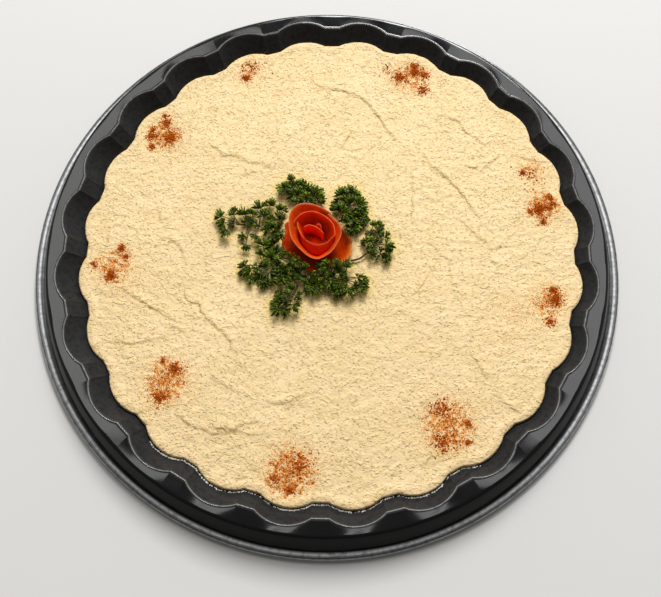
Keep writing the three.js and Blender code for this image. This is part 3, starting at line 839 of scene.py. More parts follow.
@dataclass
class Tray:
    """Thin moulded sheet: well with a fluted wall, bead, sloping rim, outer skirt and lip."""

    wall: FlutedWall
    finish: bpy.types.Material
    sheet: float = 1.2
    rim_outer_r: float = 190.6
    rim_rise: float = 0.75
    edge_round: float = 1.3
    bead_height: float = 0.34
    bead_width: float = 0.95
    lip_inner_r: float = 198.6
    lip_z: float = 5.2
    lip_groove: float = 0.28
    groove_half: float = 0.06
    lip_fillet: float = 1.1
    floor_fillet: float = 2.4
    wave: float = 0.05
    wave_length: float = 13.0
    wave_seed: int = 5
    foot_r: float = 60.0
    under_wall: float = 0.62
    under_skirt: float = -0.78
    land_steps: int = 8
    lobe_steps: int = 26

    def lip_and_skirt(self, outer_r: float) -> list[Ring]:
        """Upper face from the edge of the lip, up the skirt, to the outer edge of the rim.

        The edge of the lip is most of a half circle, and the lip is flat with a bell-shaped groove
        along it. The skirt is straight. A fillet of it, and the rounded outer edge of the rim, are
        the parabola (1 - b)^2 u + b^2 v between two directions u and v.

        Args:
            outer_r: distance of the edge of the lip.

        Returns:
            Rings of (distance, height).
        """
        half, lip_end = self.sheet / 2.0, self.lip_inner_r + 0.8
        rings: list[Ring] = []
        for turn in np.radians([-60, -20, 20, 60, 90]):
            rings.append((outer_r - half + half * math.cos(turn), self.lip_z - half + half * math.sin(turn)))
        for share in (0.2, 0.38, 0.46, 0.5, 0.54, 0.62, 0.8):
            dip = self.lip_groove * math.exp(-(((share - 0.5) / self.groove_half) ** 2))
            rings.append((outer_r - half + (lip_end - outer_r + half) * share, self.lip_z - dip))
        foot = np.array([self.lip_inner_r, self.lip_z])
        crest = np.array([self.rim_outer_r, self.wall.rim_z + self.rim_rise])
        climb, outward = unit(crest - foot), np.array([1.0, 0.0])
        for bend in (0.0, 0.35, 0.7, 1.0):
            rings.append(tuple(foot + self.lip_fillet * ((1.0 - bend) ** 2 * outward + bend**2 * climb)))
        for share in (0.3, 0.6):
            rings.append(tuple(foot + (crest - foot) * share))
        for bend in (0.0, 0.2, 0.4, 0.6, 0.8, 1.0):
            rings.append(tuple(crest - self.edge_round * ((1.0 - bend) ** 2 * climb + bend**2 * outward)))
        return rings

    def rim_and_well(self, angle: Array) -> list[Ring]:
        """Upper face from the outer edge of the rim, over the bead, down to the floor.

        The rim slopes down to the bead with a faint wave of noise. The bead is a half wave along
        the top of the wall. The wall is straight, with a rib at each corner, and ends in a fillet
        (1 - b)^2 up and b^2 in.

        Args:
            angle: angles round the tray in radians.

        Returns:
            Rings of (distance, height).
        """
        wall = self.wall
        top = wall.radius(angle, wall.rim_z)
        inner, outer = top + self.bead_width, self.rim_outer_r - self.edge_round
        rings: list[Ring] = []
        for share in np.linspace(0.12, 1.0, 9):
            radius = outer + (inner - outer) * share
            x, y = radius * np.cos(angle) / self.wave_length, radius * np.sin(angle) / self.wave_length
            wave = self.wave * noise(x, y, self.wave_seed) * math.sin(math.pi * share) ** 0.5
            rings.append((radius, wall.rim_z + self.rim_rise * (1.0 - share) + wave))
        for share in np.linspace(0.1, 0.9, 7):
            bead = self.bead_height * math.sin(math.pi * share) ** 1.3
            rings.append((top + self.bead_width * (1.0 - share), wall.rim_z + bead))
        for bend in (0.0, 0.4, 0.8):
            z = wall.rim_z - 0.08 - 0.9 * bend
            rings.append((wall.radius(angle, z) + 0.25 * (1.0 - bend) ** 2, z))
        for z in np.linspace(wall.rim_z - 1.6, wall.floor_z + self.floor_fillet, 5):
            rings.append((wall.radius(angle, z) - wall.ribs(angle), z))
        for bend in (0.3, 0.65, 1.0):
            z = wall.floor_z + self.floor_fillet * (1.0 - bend) ** 2
            rings.append((wall.radius(angle, z) - self.floor_fillet * bend**2, z))
        return rings

    def underside(self, angle: Array, outer_r: float) -> list[Ring]:
        """Lower face from the middle of the foot out to the lip, about one sheet below the upper.

        Args:
            angle: angles round the tray in radians.
            outer_r: distance of the edge of the lip.

        Returns:
            Rings of (distance, height).
        """
        wall = self.wall
        floor_r, top_r = wall.radius(angle, wall.floor_z), wall.radius(angle, wall.rim_z)
        rim_z, lip_z = wall.rim_z - self.sheet, self.lip_z - self.sheet
        crest_r, crest_z = self.rim_outer_r + self.under_skirt, rim_z + self.rim_rise
        bend_r = self.lip_inner_r + self.under_skirt
        rings: list[Ring] = [(self.foot_r, 0.0), (floor_r - 2.0, 0.0)]
        for bend in (0.5, 1.0):
            rings.append((floor_r + self.under_wall - 1.2 * (1.0 - bend) ** 2, bend**2))
        for z in np.linspace(4.0, rim_z - 1.0, 4):
            rings.append((wall.radius(angle, z + self.sheet) + self.under_wall, z))
        rings += [
            (top_r + self.under_wall + 0.9, rim_z),
            (crest_r - 1.0, crest_z),
            (crest_r, crest_z - 0.8),
            (bend_r - 0.4, lip_z + 0.9),
            (bend_r + 0.8, lip_z),
            (outer_r - self.sheet / 2.0, lip_z),
        ]
        return rings

    def build(self) -> bpy.types.Object:
        """Closed shell of the tray: rings from a pole under the floor, over the lip, to a pole on it.

        Returns:
            The finished piece.
        """
        outer_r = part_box("tray")[1].x / MM
        angle = self.wall.angles(self.land_steps, self.lobe_steps)
        rings = self.underside(angle, outer_r) + self.lip_and_skirt(outer_r) + self.rim_and_well(angle)
        body = [round_points(radius, angle, z) for radius, z in rings]
        points = np.vstack([*body, [[0.0, 0.0, 0.0], [0.0, 0.0, self.wall.floor_z]]])
        faces = tube_faces(len(rings), len(angle))
        attributes = {"scuff_and_highlight": self.scuff_and_highlight(points, angle, len(rings)), "gloss": self.gloss(points)}
        piece = make_piece("tray_shell", points, faces, self.finish, attributes)
        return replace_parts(piece, "tray")

    def scuff_and_highlight(self, points: Array, angle: Array, rings: int) -> Array:
        """How much pale colour each point takes: scuffs and painted highlight lines.

        The sum of bell curves of the distance in plan from the crest of the bead, from the inner
        bend of the lip and from its outer edge, and a faint haze all over the well.

        Args:
            points: the rings one by one, then the two poles.
            angle: angles round the tray in radians.
            rings: number of rings.

        Returns:
            A number from 0 to 1 for each point.
        """
        around = np.concatenate([np.tile(angle, rings), [0.0, 0.0]])
        radius, z = np.hypot(points[:, 0], points[:, 1]), points[:, 2]
        crest = self.wall.radius(around, self.wall.rim_z) + self.bead_width * 0.45
        upper, low = z > self.wall.rim_z - 0.6, z > self.lip_z - 0.7
        # Pale lines on the bead and on the lip's bend and edge: painted highlights, partly scuffs.
        bead = np.exp(-(((radius - crest) / 0.42) ** 2)) * upper
        bend = np.exp(-(((radius - self.lip_inner_r - 1.2) / 1.05) ** 2)) * low * (z < self.lip_z + 0.8)
        edge = np.exp(-(((radius - points[:, 0].max()) / 0.5) ** 2)) * low
        well = (z < self.wall.rim_z - 0.6) * (radius < self.wall.rim_lobe_r)
        return np.clip(0.3 * bead + bend + 0.75 * edge + 0.024 * well, 0.0, 1.0)

    def gloss(self, points: Array) -> Array:
        """How glossy each point is: the rim and the lip shine more than the skirt and the well.

        Args:
            points: places, one row a point.

        Returns:
            A number from 0 to 1 for each point.
        """
        radius, z = np.hypot(points[:, 0], points[:, 1]), points[:, 2]
        beyond = smooth_step(self.rim_outer_r - 1.0, self.rim_outer_r + 0.5, radius)
        skirt = beyond * smooth_step(self.lip_z, self.lip_z + 1.5, z)
        well = smooth_step(0.2, 1.4, self.wall.rim_z - z) * (radius < self.wall.rim_lobe_r)
        return 0.78 - 0.75 * skirt - 0.65 * well


# ---- Hummus


class Mark(Enum):
    """How strongly a mark of the knife stands out: its height, and how far it runs back."""

    DEEP = (0.95, 7.0)
    CLEAR = (0.8, 5.0)
    SLIGHT = (0.5, 3.5)


# Marks of the knife, each as its run in plan; the paste is raised on the left of the run.
MARKS: dict[Mark, tuple[tuple[Point, ...], ...]] = {
    Mark.DEEP: (
        ((-12, 141), (-5, 133), (4, 130), (12, 129), (21, 125), (29, 120), (36, 110), (43, 98), (50, 86)),
        ((-88, 85), (-83, 85), (-78, 80), (-74, 76), (-66, 76), (-59, 71), (-52, 70), (-43, 67), (-36, 65)),
        ((80, 109), (91, 104), (96, 101), (101, 93), (106, 89), (111, 84), (118, 80)),
        ((68, 78), (75, 66), (82, 60), (91, 49), (99, 38), (104, 28), (110, 19)),
        ((94, 24), (99, 17), (107, 9), (115, 0)),
        (
            (-97, -22), (-96, -31), (-93, -35), (-86, -37), (-85, -42), (-78, -50), (-69, -58), (-64, -64),
            (-64, -68), (-59, -72),
        ),
        ((-99, -111), (-93, -116), (-85, -120), (-78, -123), (-71, -125), (-63, -124), (-54, -123)),
        ((-80, -120), (-71, -121), (-61, -122), (-57, -120), (-50, -118), (-43, -117)),
    ),
    Mark.CLEAR: (
        ((-146, -22), (-137, -27), (-129, -33), (-120, -38), (-110, -44), (-103, -48), (-96, -50)),
        ((-117, 5), (-115, 11), (-110, 12), (-105, 9), (-101, 4), (-98, -4), (-97, -14)),
        ((-148, -63), (-138, -63), (-130, -64), (-121, -62), (-109, -60)),
        ((-107, -63), (-107, -56), (-104, -53), (-100, -54), (-95, -57)),
        ((60, 67), (61, 60), (61, 45), (60, 33), (59, 20)),
        ((98, 66), (104, 64), (109, 65)),
        ((111, 63), (117, 68), (125, 75)),
        ((132, 76), (138, 73), (147, 70), (156, 68)),
        ((96, -65), (95, -72), (99, -80), (102, -85), (104, -90)),
        ((109, -100), (114, -105), (120, -110), (125, -113)),
        ((61, -146), (65, -141), (71, -139)),
        ((11, 81), (12, 85), (15, 88), (17, 93), (19, 95), (23, 93)),
        ((-41, -104), (-35, -105), (-27, -105), (-21, -102), (-13, -99)),
    ),
    Mark.SLIGHT: (
        ((27, 122), (35, 111), (42, 99), (51, 87), (62, 76)),
        ((-62, 59), (-54, 62), (-48, 63)),
        ((-21, 61), (-16, 64)),
        ((19, 79), (24, 80), (29, 82)),
        ((-30, 94), (-25, 90)),
        ((4, 118), (9, 120)),
        ((115, 1), (123, 3), (135, 4)),
        ((111, -6), (117, -10)),
        ((130, 20), (135, 27)),
        ((83, -1), (84, -12), (85, -21), (87, -34)),
        ((54, -35), (62, -28), (72, -12), (77, -6)),
        ((-122, 36), (-119, 35), (-117, 29), (-116, 23)),
        ((-151, 20), (-153, 15), (-152, 7)),
        ((-87, -48), (-84, -44)),
        ((-61, -123), (-52, -125), (-45, -127)),
        ((-29, -110), (-24, -108), (-21, -103), (-15, -101)),
        ((-79, -85), (-72, -91), (-66, -94), (-61, -97), (-53, -99)),
        ((-60, -153), (-54, -153), (-48, -153)),
        ((21, -76), (27, -74), (33, -76), (38, -75)),
    ),
}


@dataclass(frozen=True)
class Spread:
    """Height of the surface of the hummus at any place.

    Attributes:
        wall: wall of the tray that holds it.
        edge_r: distance of the edge where the wall is met.
        edge_z: height there, before the lean.
        crown: how much higher the middle is.
        lean: how much higher the +X side is than the middle.
        swell: height of the slow waves.
        mark_noise: how far noise moves a mark sideways.
        ripple: height of the drawn-out ripples.
        roll: height of the soft rolls.
        tear: height of the short torn lips.
        lump: height of the small lumps.
        tear_sizes: for each layer of them, its length, its width and its turn in degrees.
    """

    wall: FlutedWall
    edge_r: float = 171.0
    edge_z: float = 12.2
    crown: float = 2.2
    lean: float = 2.2
    swell: float = 0.35
    mark_noise: float = 0.75
    ripple: float = 0.11
    roll: float = 0.24
    tear: float = 0.11
    lump: float = 0.115
    tear_sizes: tuple[Triple, ...] = ((9.0, 6.0, 8.0), (6.5, 4.6, -24.0), (5.0, 4.2, 30.0))

    def smooth(self, x: Array, y: Array) -> Array:
        """Height without marks: a crown and a lean to +X, with two long slow waves.

        Args:
            x, y: places in plan.

        Returns:
            Heights over the table.
        """
        reach = np.hypot(x, y) / self.edge_r
        waves = np.sin(x / 31.0 + 1.0) * np.cos(y / 27.0) + 0.6 * np.sin((x - y) / 19.0 + 2.0)
        return self.edge_z + self.crown * (1.0 - reach**2) + self.lean * x / self.edge_r + self.swell * waves

    def grain(self, x: Array, y: Array) -> Array:
        """Uneven surface left by the knife.

        Soft rolls of two sizes, and drawn-out ripples. The ripples are noise that is stretched
        along one of four directions, and a slow field picks which direction shows where.

        Args:
            x, y: places in plan.

        Returns:
            Heights to add.
        """
        rolls = self.roll * (noise(x / 24.0, y / 20.0, 11) + 0.75 * noise(x / 9.0, y / 7.5, 12))
        field = 1.6 * noise(x / 60.0, y / 60.0, 13)
        ripples = np.zeros_like(rolls)
        for order, degrees in enumerate((-32.0, -6.0, 16.0, 48.0)):
            along, across = self.turned(x, y, degrees)
            share = np.exp(-((field - (order - 1.5) * 0.7) ** 2) / 0.5)
            coarse = noise(along / 8.5, across / 3.3, 20 + order)
            ripples += share * (coarse + 0.55 * noise(along / 4.2, across / 2.3, 30 + order))
        lumps = self.lump * (noise(x / 3.4, y / 3.0, 14) + noise(x / 5.2, y / 4.6, 15))
        return rolls + self.ripple * ripples + self.tears(x, y) + lumps

    def turned(self, x: Array, y: Array, degrees: float) -> tuple[Array, Array]:
        """Coordinates along and across a direction in plan."""
        turn = math.radians(degrees)
        return x * math.cos(turn) + y * math.sin(turn), y * math.cos(turn) - x * math.sin(turn)

    def tears(self, x: Array, y: Array) -> Array:
        """Short torn lips: tanh steps where a noise field passes 0, shown only in patches.

        Args:
            x, y: places in plan.

        Returns:
            Heights to add.
        """
        height = np.zeros_like(x)
        for order, (wide, narrow, degrees) in enumerate(self.tear_sizes):
            along, across = self.turned(x, y, degrees)
            along += 2.2 * noise(x / 8.0, y / 8.0, 70 + order)
            across += 2.2 * noise(x / 8.0, y / 8.0, 80 + order)
            line = noise(along / wide, across / narrow, 50 + order)
            shown = smooth_step(0.1, 0.6, noise(along / (0.9 * wide), across / (1.2 * narrow), 60 + order))
            height += shown * np.tanh(line / 0.16)
        return self.tear * height

    def marks(self, x: Array, y: Array) -> tuple[Array, dict[str, Array]]:
        """Marks of the knife: each is a lip that falls off sharply on its right-hand side.

        Left of the run the paste is raised and sinks back as e^(-distance / reach). Right of it
        lies a narrow trough. A point's distance from the run is the cross product of the run's
        direction and the way to the point. Noise is added to it, so that the lip is ragged.

        Args:
            x, y: places in plan.

        Returns:
            The added height, and three numbers for the finish: the first is 1 in a trough, where the finish
            paints shade,
            "lip_gap" is the distance to the nearest lip, minus on its low side, and "lip_size" is
            how strong that lip is.
        """
        height, trough, best = np.zeros_like(x), np.zeros_like(x), np.full_like(x, 0.02)
        lip_gap, lip_size = np.full_like(x, 4.0), np.zeros_like(x)
        ragged = self.mark_noise * (noise(x / 4.5, y / 4.5, 41) + 0.6 * noise(x / 1.9, y / 1.9, 42))
        runs = [(mark.value, run) for mark, group in MARKS.items() for run in group]
        for order, ((lift, reach), run) in enumerate(runs):
            path = spline(np.array(run, float), 24 * len(run))
            margin = 3.0 * reach
            (left, front), (right, back) = path.min(0) - margin, path.max(0) + margin
            near = np.flatnonzero((x > left) & (x < right) & (y > front) & (y < back))
            place = np.stack([x[near], y[near]], -1)
            gap = place[:, None, :] - path[None, :, :]
            closest = np.argmin((gap**2).sum(-1), axis=1)
            along = unit(np.gradient(path, axis=0))[closest]
            off = gap[np.arange(len(near)), closest]
            side = along[:, 0] * off[:, 1] - along[:, 1] * off[:, 0]
            overrun = np.abs(along[:, 0] * off[:, 0] + along[:, 1] * off[:, 1])
            share = closest / (len(path) - 1.0)
            taper = np.sin(np.pi * np.clip(share, 0.0, 1.0)) ** 0.45 * np.exp(-((overrun / 1.5) ** 2))
            broken = 0.75 + 0.35 * noise(share * len(run) * 1.7, np.full_like(share, float(order)), 43)
            size = lift * taper * broken
            s = side + ragged[near]
            raised = smooth_step(-0.55, 0.55, s) * np.exp(-np.maximum(s - 0.5, 0.0) / reach)
            cut = np.exp(-(((s + 0.9) / 0.95) ** 2))
            height[near] += size * (raised - 0.2 * cut)
            # Trough of the mark, where the finish paints shade.
            groove = np.clip(size, 0.0, 1.2) * np.exp(-(((s + 0.45) / 0.8) ** 2))
            trough[near] = np.maximum(trough[near], groove)
            score = size * np.exp(-((s / 2.0) ** 2))
            won = score > best[near]
            wins = near[won]
            best[wins] = score[won]
            lip_gap[wins], lip_size[wins] = np.clip(s[won], -4.0, 4.0), np.clip(size[won], 0.0, 1.0)
        return height, {"crease_shade": np.clip(trough, 0.0, 1.0), "lip_gap": lip_gap, "lip_size": lip_size}

    def surface(self, x: Array, y: Array) -> tuple[Array, dict[str, Array]]:
        """Height of the finished surface, and what the finish needs to know of the marks."""
        height, known = self.marks(x, y)
        return self.smooth(x, y) + self.grain(x, y) + height, known


class Clump(Enum):
    """Kind of paprika grain: least and greatest radius, how many a unit holds, how far they lie."""

    HEAP = (0.42, 0.9, 7.0, 0.5)
    COARSE = (0.32, 0.75, 9.0, 1.0)
    FINE = (0.2, 0.42, 30.0, 1.35)


@dataclass(frozen=True)
class PaprikaPile:
    """One small pile of paprika: its middle, how far it spreads and how much lies there."""

    x: float
    y: float
    spread: float
    amount: float


PAPRIKA_PILES: tuple[PaprikaPile, ...] = tuple(
    PaprikaPile(*pile)
    for pile in (
        (-113, 91.7, 3.7, 22), (-117.4, 103.9, 2.4, 13), (-127.6, 93.2, 2.6, 8), (-126.7, 84.1, 1.5, 7),
        (-126.7, 98.4, 1.1, 3), (-118.8, 110.2, 1.5, 3), (-59.7, 141, 1.8, 12), (-56.7, 152.4, 6.7, 9),
        (54.9, 140.5, 2.9, 13), (66.1, 144.8, 2.5, 13), (66.3, 149.8, 1.8, 10), (73, 142.3, 2.4, 9),
        (71.5, 128.6, 3.0, 8), (45, 146.7, 4.0, 3), (139.6, 59.9, 1.2, 6), (145, 57.4, 5.5, 4),
        (149.6, 31.5, 2.8, 22), (157.7, 40.2, 1.9, 8), (159.6, 35, 1.7, 8), (151.3, 21.9, 1.6, 7),
        (156.1, 32.2, 1.3, 5), (142.5, 29.3, 1.0, 4), (154.2, -35.4, 3.7, 18), (152.5, -28.9, 1.4, 7),
        (149.2, -51.4, 2.2, 6), (-148.5, -15.2, 2.3, 21), (-142.4, 5, 1.8, 9), (-161.4, -6.3, 2.1, 5),
        (-139, -1.5, 1.5, 5), (-100.5, -81.8, 2.7, 13), (-109.9, -100.5, 3.4, 12), (-108.8, -76.3, 1.2, 4),
        (-18.1, -144.4, 7.2, 13), (-23.9, -160.8, 1.7, 8), (-33.2, -153.9, 2.9, 5),
        (73.8, -130.8, 5.1, 15), (74.2, -110.5, 5.5, 13), (90.2, -119.5, 1.3, 7), (89.3, -131.6, 1.2, 4),
    )
)
# Spread of the stray grains of a shake as a share of its reach.
SHAKE_SPREAD = 0.62
# Where the paprika was shaken over the tray: x, y, reach and number of stray grains.
PAPRIKA_SHAKES: tuple[tuple[float, float, float, int], ...] = (
    (-119, 94, 12, 850), (-57, 149, 12, 370), (62, 140, 14, 860), (147, 62, 11, 380), (152, 34, 12, 780),
    (150, -38, 13, 640), (128, -42, 15, 300), (-147, -8, 14, 840), (-106, -90, 15, 1400),
    (-24, -150, 16, 1900), (78, -121, 17, 1700), (112, -60, 14, 90), (-132, 62, 14, 70), (106, 44, 18, 60),
    (-135, -22, 12, 120),
)


@dataclass
class Hummus:
    """The spread itself: a dense closed mesh whose top carries the marks of the knife."""

    spread: Spread
    finish: bpy.types.Material
    smear_finish: bpy.types.Material
    steps: int = 304
    crowd: float = 0.035
    edge_round: float = 1.3
    edge_drop: float = 2.6
    wall_gap: float = 0.28
    floor_gap: float = 0.3
    smear_seed: int = 19
    # Reach of the painted shadow tint round the rose, and round each leaflet as a share of its radius.
    shadow_tint_rose: float = 16.0
    shadow_tint_reach: float = 1.1
    smear_groups: tuple[int, int] = (150, 6)
    smear_span_deg: tuple[float, float] = (228.0, 304.0)
    smear_rise: float = 0.75

    def disc(self) -> tuple[Array, Array, Array]:
        """Even grid over a disc.

        A square grid is wrapped into rings: the ring number is the larger of |a| and |b|, and the
        angle grows evenly along each side of the square. Rings crowd a little towards the edge.

        Returns:
            Share of the way to the edge, angle, and the grid numbers of the boundary in order.
        """
        side = np.linspace(-1.0, 1.0, self.steps + 1)
        a, b = np.meshgrid(side, side, indexing="xy")
        wide = np.abs(a) >= np.abs(b)
        big, small = np.where(wide, a, b), np.where(wide, b, a)
        part = np.divide(small, big, out=np.zeros_like(small), where=np.abs(big) > 1e-9) * np.pi / 4.0
        angle = np.where(wide, part, np.pi / 2.0 - part) + np.where(big < 0.0, np.pi, 0.0)
        share = np.abs(big)
        share = share * (1.0 + self.crowd) - self.crowd * share**22
        number = np.arange((self.steps + 1) ** 2).reshape(self.steps + 1, -1)
        edge = np.concatenate([number[0, :-1], number[:-1, -1], number[-1, :0:-1], number[:0:-1, 0]])
        return share.ravel(), angle.ravel(), edge

    def build(self) -> bpy.types.Object:
        """Closed mesh of the hummus, with what its finish needs at each point.

        The disc is stretched to the fluted wall by the cube of the share of the way out. Its edge
        swells a little and then drops as a quarter of an ellipse. From there rings run down along
        the wall to a flat base.

        Returns:
            The finished piece.
        """
        wall, spread = self.spread.wall, self.spread
        share, angle, edge = self.disc()
        contact_z = spread.edge_z + spread.lean * np.cos(angle) - self.edge_drop
        contact_r = wall.radius(angle, contact_z) - self.wall_gap
        fluted = share**3
        radius = share * (fluted * contact_r + (1.0 - fluted) * spread.edge_r)
        x, y = radius * np.cos(angle), radius * np.sin(angle)
        z, known = spread.surface(x, y)
        inset = np.clip(1.0 - (contact_r - radius) / self.edge_round, 0.0, 1.0)
        plump = 0.5 * np.exp(-(((contact_r - radius - 4.0) / 3.0) ** 2))
        z = z + plump - self.edge_drop * (1.0 - np.sqrt(np.maximum(1.0 - inset**2, 0.0)))
        top = np.stack([x, y, z], -1)
        floor_z = wall.floor_z + self.floor_gap
        rings = [top]
        for fall in (0.12, 0.45, 1.0):
            level = z[edge] + (floor_z - z[edge]) * fall
            ring_r = wall.radius(angle[edge], level) - self.wall_gap
            rings.append(round_points(ring_r, angle[edge], level))
        rings.append(np.array([[0.0, 0.0, floor_z]]))
        points = np.vstack(rings)
        count, first = len(edge), len(top)
        following = np.roll(np.arange(count), -1)
        loops = [edge] + [first + k * count + np.arange(count) for k in range(3)]
        sides = [
            np.stack([upper[following], upper, lower, lower[following]], -1)
            for upper, lower in zip(loops, loops[1:])
        ]
        base = np.stack([loops[-1][following], loops[-1], np.full(count, len(points) - 1)], -1)
        faces = [grid_faces(self.steps + 1, self.steps + 1), *sides, base]
        rest = np.zeros(len(points) - len(top))
        # Paprika stain, and the painted shadow tint round leaves and rose.
        known["stain"], known["leaf_shadow_tint"] = self.stain(x, y), self.leaf_shadow_tint(x, y)
        attributes = {key: np.concatenate([value, rest]) for key, value in known.items()}
        piece = make_piece("hummus_spread", points, faces, self.finish, attributes)
        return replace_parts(piece, "hummus")

    def stain(self, x: Array, y: Array) -> Array:
        """Share of paprika dust: a bell curve under each pile, and a low wide one at each shake.

        Args:
            x, y: places in plan.

        Returns:
            Shares from 0 to 0.9.
        """
        amount = np.zeros_like(x)
        for pile in PAPRIKA_PILES:
            most = 0.6 * min(1.0, pile.amount / (1.1 * pile.spread**2))
            amount += most * bell(x, y, (pile.x, pile.y), pile.spread + 0.9)
        for shake_x, shake_y, reach, count in PAPRIKA_SHAKES:
            wide = SHAKE_SPREAD * reach
            most = 0.6 * count / (2.0 * np.pi * wide**2)
            amount += most * bell(x, y, (shake_x, shake_y), wide)
        patchy = 0.7 + 1.1 * noise(x / 3.1, y / 3.1, 51)
        return np.clip(amount * patchy, 0.0, 0.9)

    def leaf_shadow_tint(self, x: Array, y: Array) -> Array:
        """Share of painted shadow tint: the largest of bell curves round rose and leaflets, where their
        shadows fall.

        Args:
            x, y: places in plan.

        Returns:
            Shares from 0 to 1.
        """
        share = bell(x, y, ROSE_PLACE, self.shadow_tint_rose)
        for plan in SPRIGS:
            for *middle, size in plan.leaflets:
                share = np.maximum(share, bell(x, y, middle, self.shadow_tint_reach * size))
        return share

    def smears(self) -> bpy.types.Object:
        """Pale scraps of hummus along the line where it meets the wall, on the guest's side.

        They lie in small groups. A scrap's height over the line of contact is smear_rise
        - 0.2 ln(random), and its place in plan lies on the wall at that height.

        Returns:
            The finished piece.
        """
        rng = np.random.default_rng(self.smear_seed)
        wall, (groups, each) = self.spread.wall, self.smear_groups
        middle = np.repeat(rng.uniform(*self.smear_span_deg, groups), each)
        angle = np.radians(middle + rng.normal(0.0, 0.42, groups * each))
        contact = self.spread.edge_z + self.spread.lean * np.cos(angle) - self.edge_drop
        level = contact + self.smear_rise - 0.2 * np.log(rng.uniform(0.02, 1.0, groups * each))
        radius = 0.26 + 0.55 * rng.random(groups * each) ** 1.6
        reach = wall.radius(angle, level) - 0.25 * radius
        points, sides = crumbs(round_points(reach, angle, level), radius, Crumb.EIGHT, rng)
        piece = make_piece("hummus_smears", points, [sides], self.smear_finish)
        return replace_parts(piece, "hummus")


@dataclass
class Paprika:
    """Ground paprika: separate grains that lie on the hummus."""

    spread: Spread
    finish: bpy.types.Material
    seed: int = 7
    sink: float = 0.1

    def scatter(self, rng: np.random.Generator) -> dict[Crumb, tuple[Array, Array]]:
        """Places and radii of all grains: bell-shaped piles, and stray grains round each shake.

        Args:
            rng: source of random numbers.

        Returns:
            Places in plan and radii, by the shape of the grains.
        """
        places: dict[Crumb, list[Array]] = {shape: [] for shape in Crumb}
        radii: dict[Crumb, list[Array]] = {shape: [] for shape in Crumb}
        for pile in PAPRIKA_PILES:
            for clump in Clump:
                least, greatest, density, tail = clump.value
                shape = Crumb.FOUR if clump is Clump.FINE else Crumb.EIGHT
                count = int(pile.amount * density)
                places[shape].append(rng.normal((pile.x, pile.y), pile.spread * tail, (count, 2)))
                radii[shape].append(least + (greatest - least) * rng.random(count) ** 2)
        for x, y, reach, count in PAPRIKA_SHAKES:
            least, greatest = Clump.FINE.value[:2]
            places[Crumb.FOUR].append(rng.normal((x, y), reach * SHAKE_SPREAD, (count, 2)))
            radii[Crumb.FOUR].append(least + (greatest - least) * rng.random(count) ** 1.3)
        found = {}
        for shape in Crumb:
            place, radius = np.vstack(places[shape]), np.concatenate(radii[shape])
            kept = np.hypot(place[:, 0], place[:, 1]) < self.spread.edge_r
            found[shape] = (place[kept], radius[kept])
        return found

    def build(self) -> list[bpy.types.Object]:
        """One mesh of the coarse grains and one of the fine ones, all with flat sides.

        Returns:
            The finished pieces.
        """
        rng = np.random.default_rng(self.seed)
        names = {Crumb.EIGHT: "paprika_coarse", Crumb.FOUR: "paprika_fine"}
        pieces = []
        for shape, (place, radius) in self.scatter(rng).items():
            z, _ = self.spread.surface(place[:, 0].copy(), place[:, 1].copy())
            centre = np.column_stack([place, z + 0.35 * radius - self.sink])
            points, sides = crumbs(centre, radius, shape, rng)
            tint = np.clip(rng.normal(0.5, 0.3, len(place)) - 0.25 * (radius - 0.3) / 0.3, 0.0, 1.0)
            attributes = {"tint": np.repeat(tint, len(shape.value[0]))}
            piece = make_piece(names[shape], points, [sides], self.finish, attributes)
            piece.data.polygons.foreach_set("use_smooth", np.zeros(len(piece.data.polygons), bool))
            pieces.append(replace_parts(piece, "hummus"))
        return pieces


# ---- Tomato rose


class Face(Enum):
    """How warm one petal of the peel looks: blush of its outer and of its inner face."""

    OUTER = (0.95, 0.9)
    INNER = (0.1, 0.06)
    HEART = (0.06, 0.04)


@dataclass(frozen=True)
class Petal:
    """One turn of the peel.

    Attributes:
        rim: points of its top edge in order, as x and y off the middle of the rose and height
            over its floor.
        gather: how far out the foot lies, as a share of the way to the rim.
        belly: the same share half-way up.
        near_belly: the same share half-way up on the guest's side.
        face: how warm it looks.
        fade: share of its length over which it rises from low at each end.
    """

    rim: tuple[Triple, ...]
    gather: float
    belly: float
    near_belly: float
    face: Face
    fade: tuple[float, float]


def round_rim(turns: tuple[Triple, ...]) -> tuple[Triple, ...]:
    """Points of a rim given by angle in degrees, distance and height, as x, y and height."""
    return tuple((r * math.cos(math.radians(a)), r * math.sin(math.radians(a)), z) for a, r, z in turns)


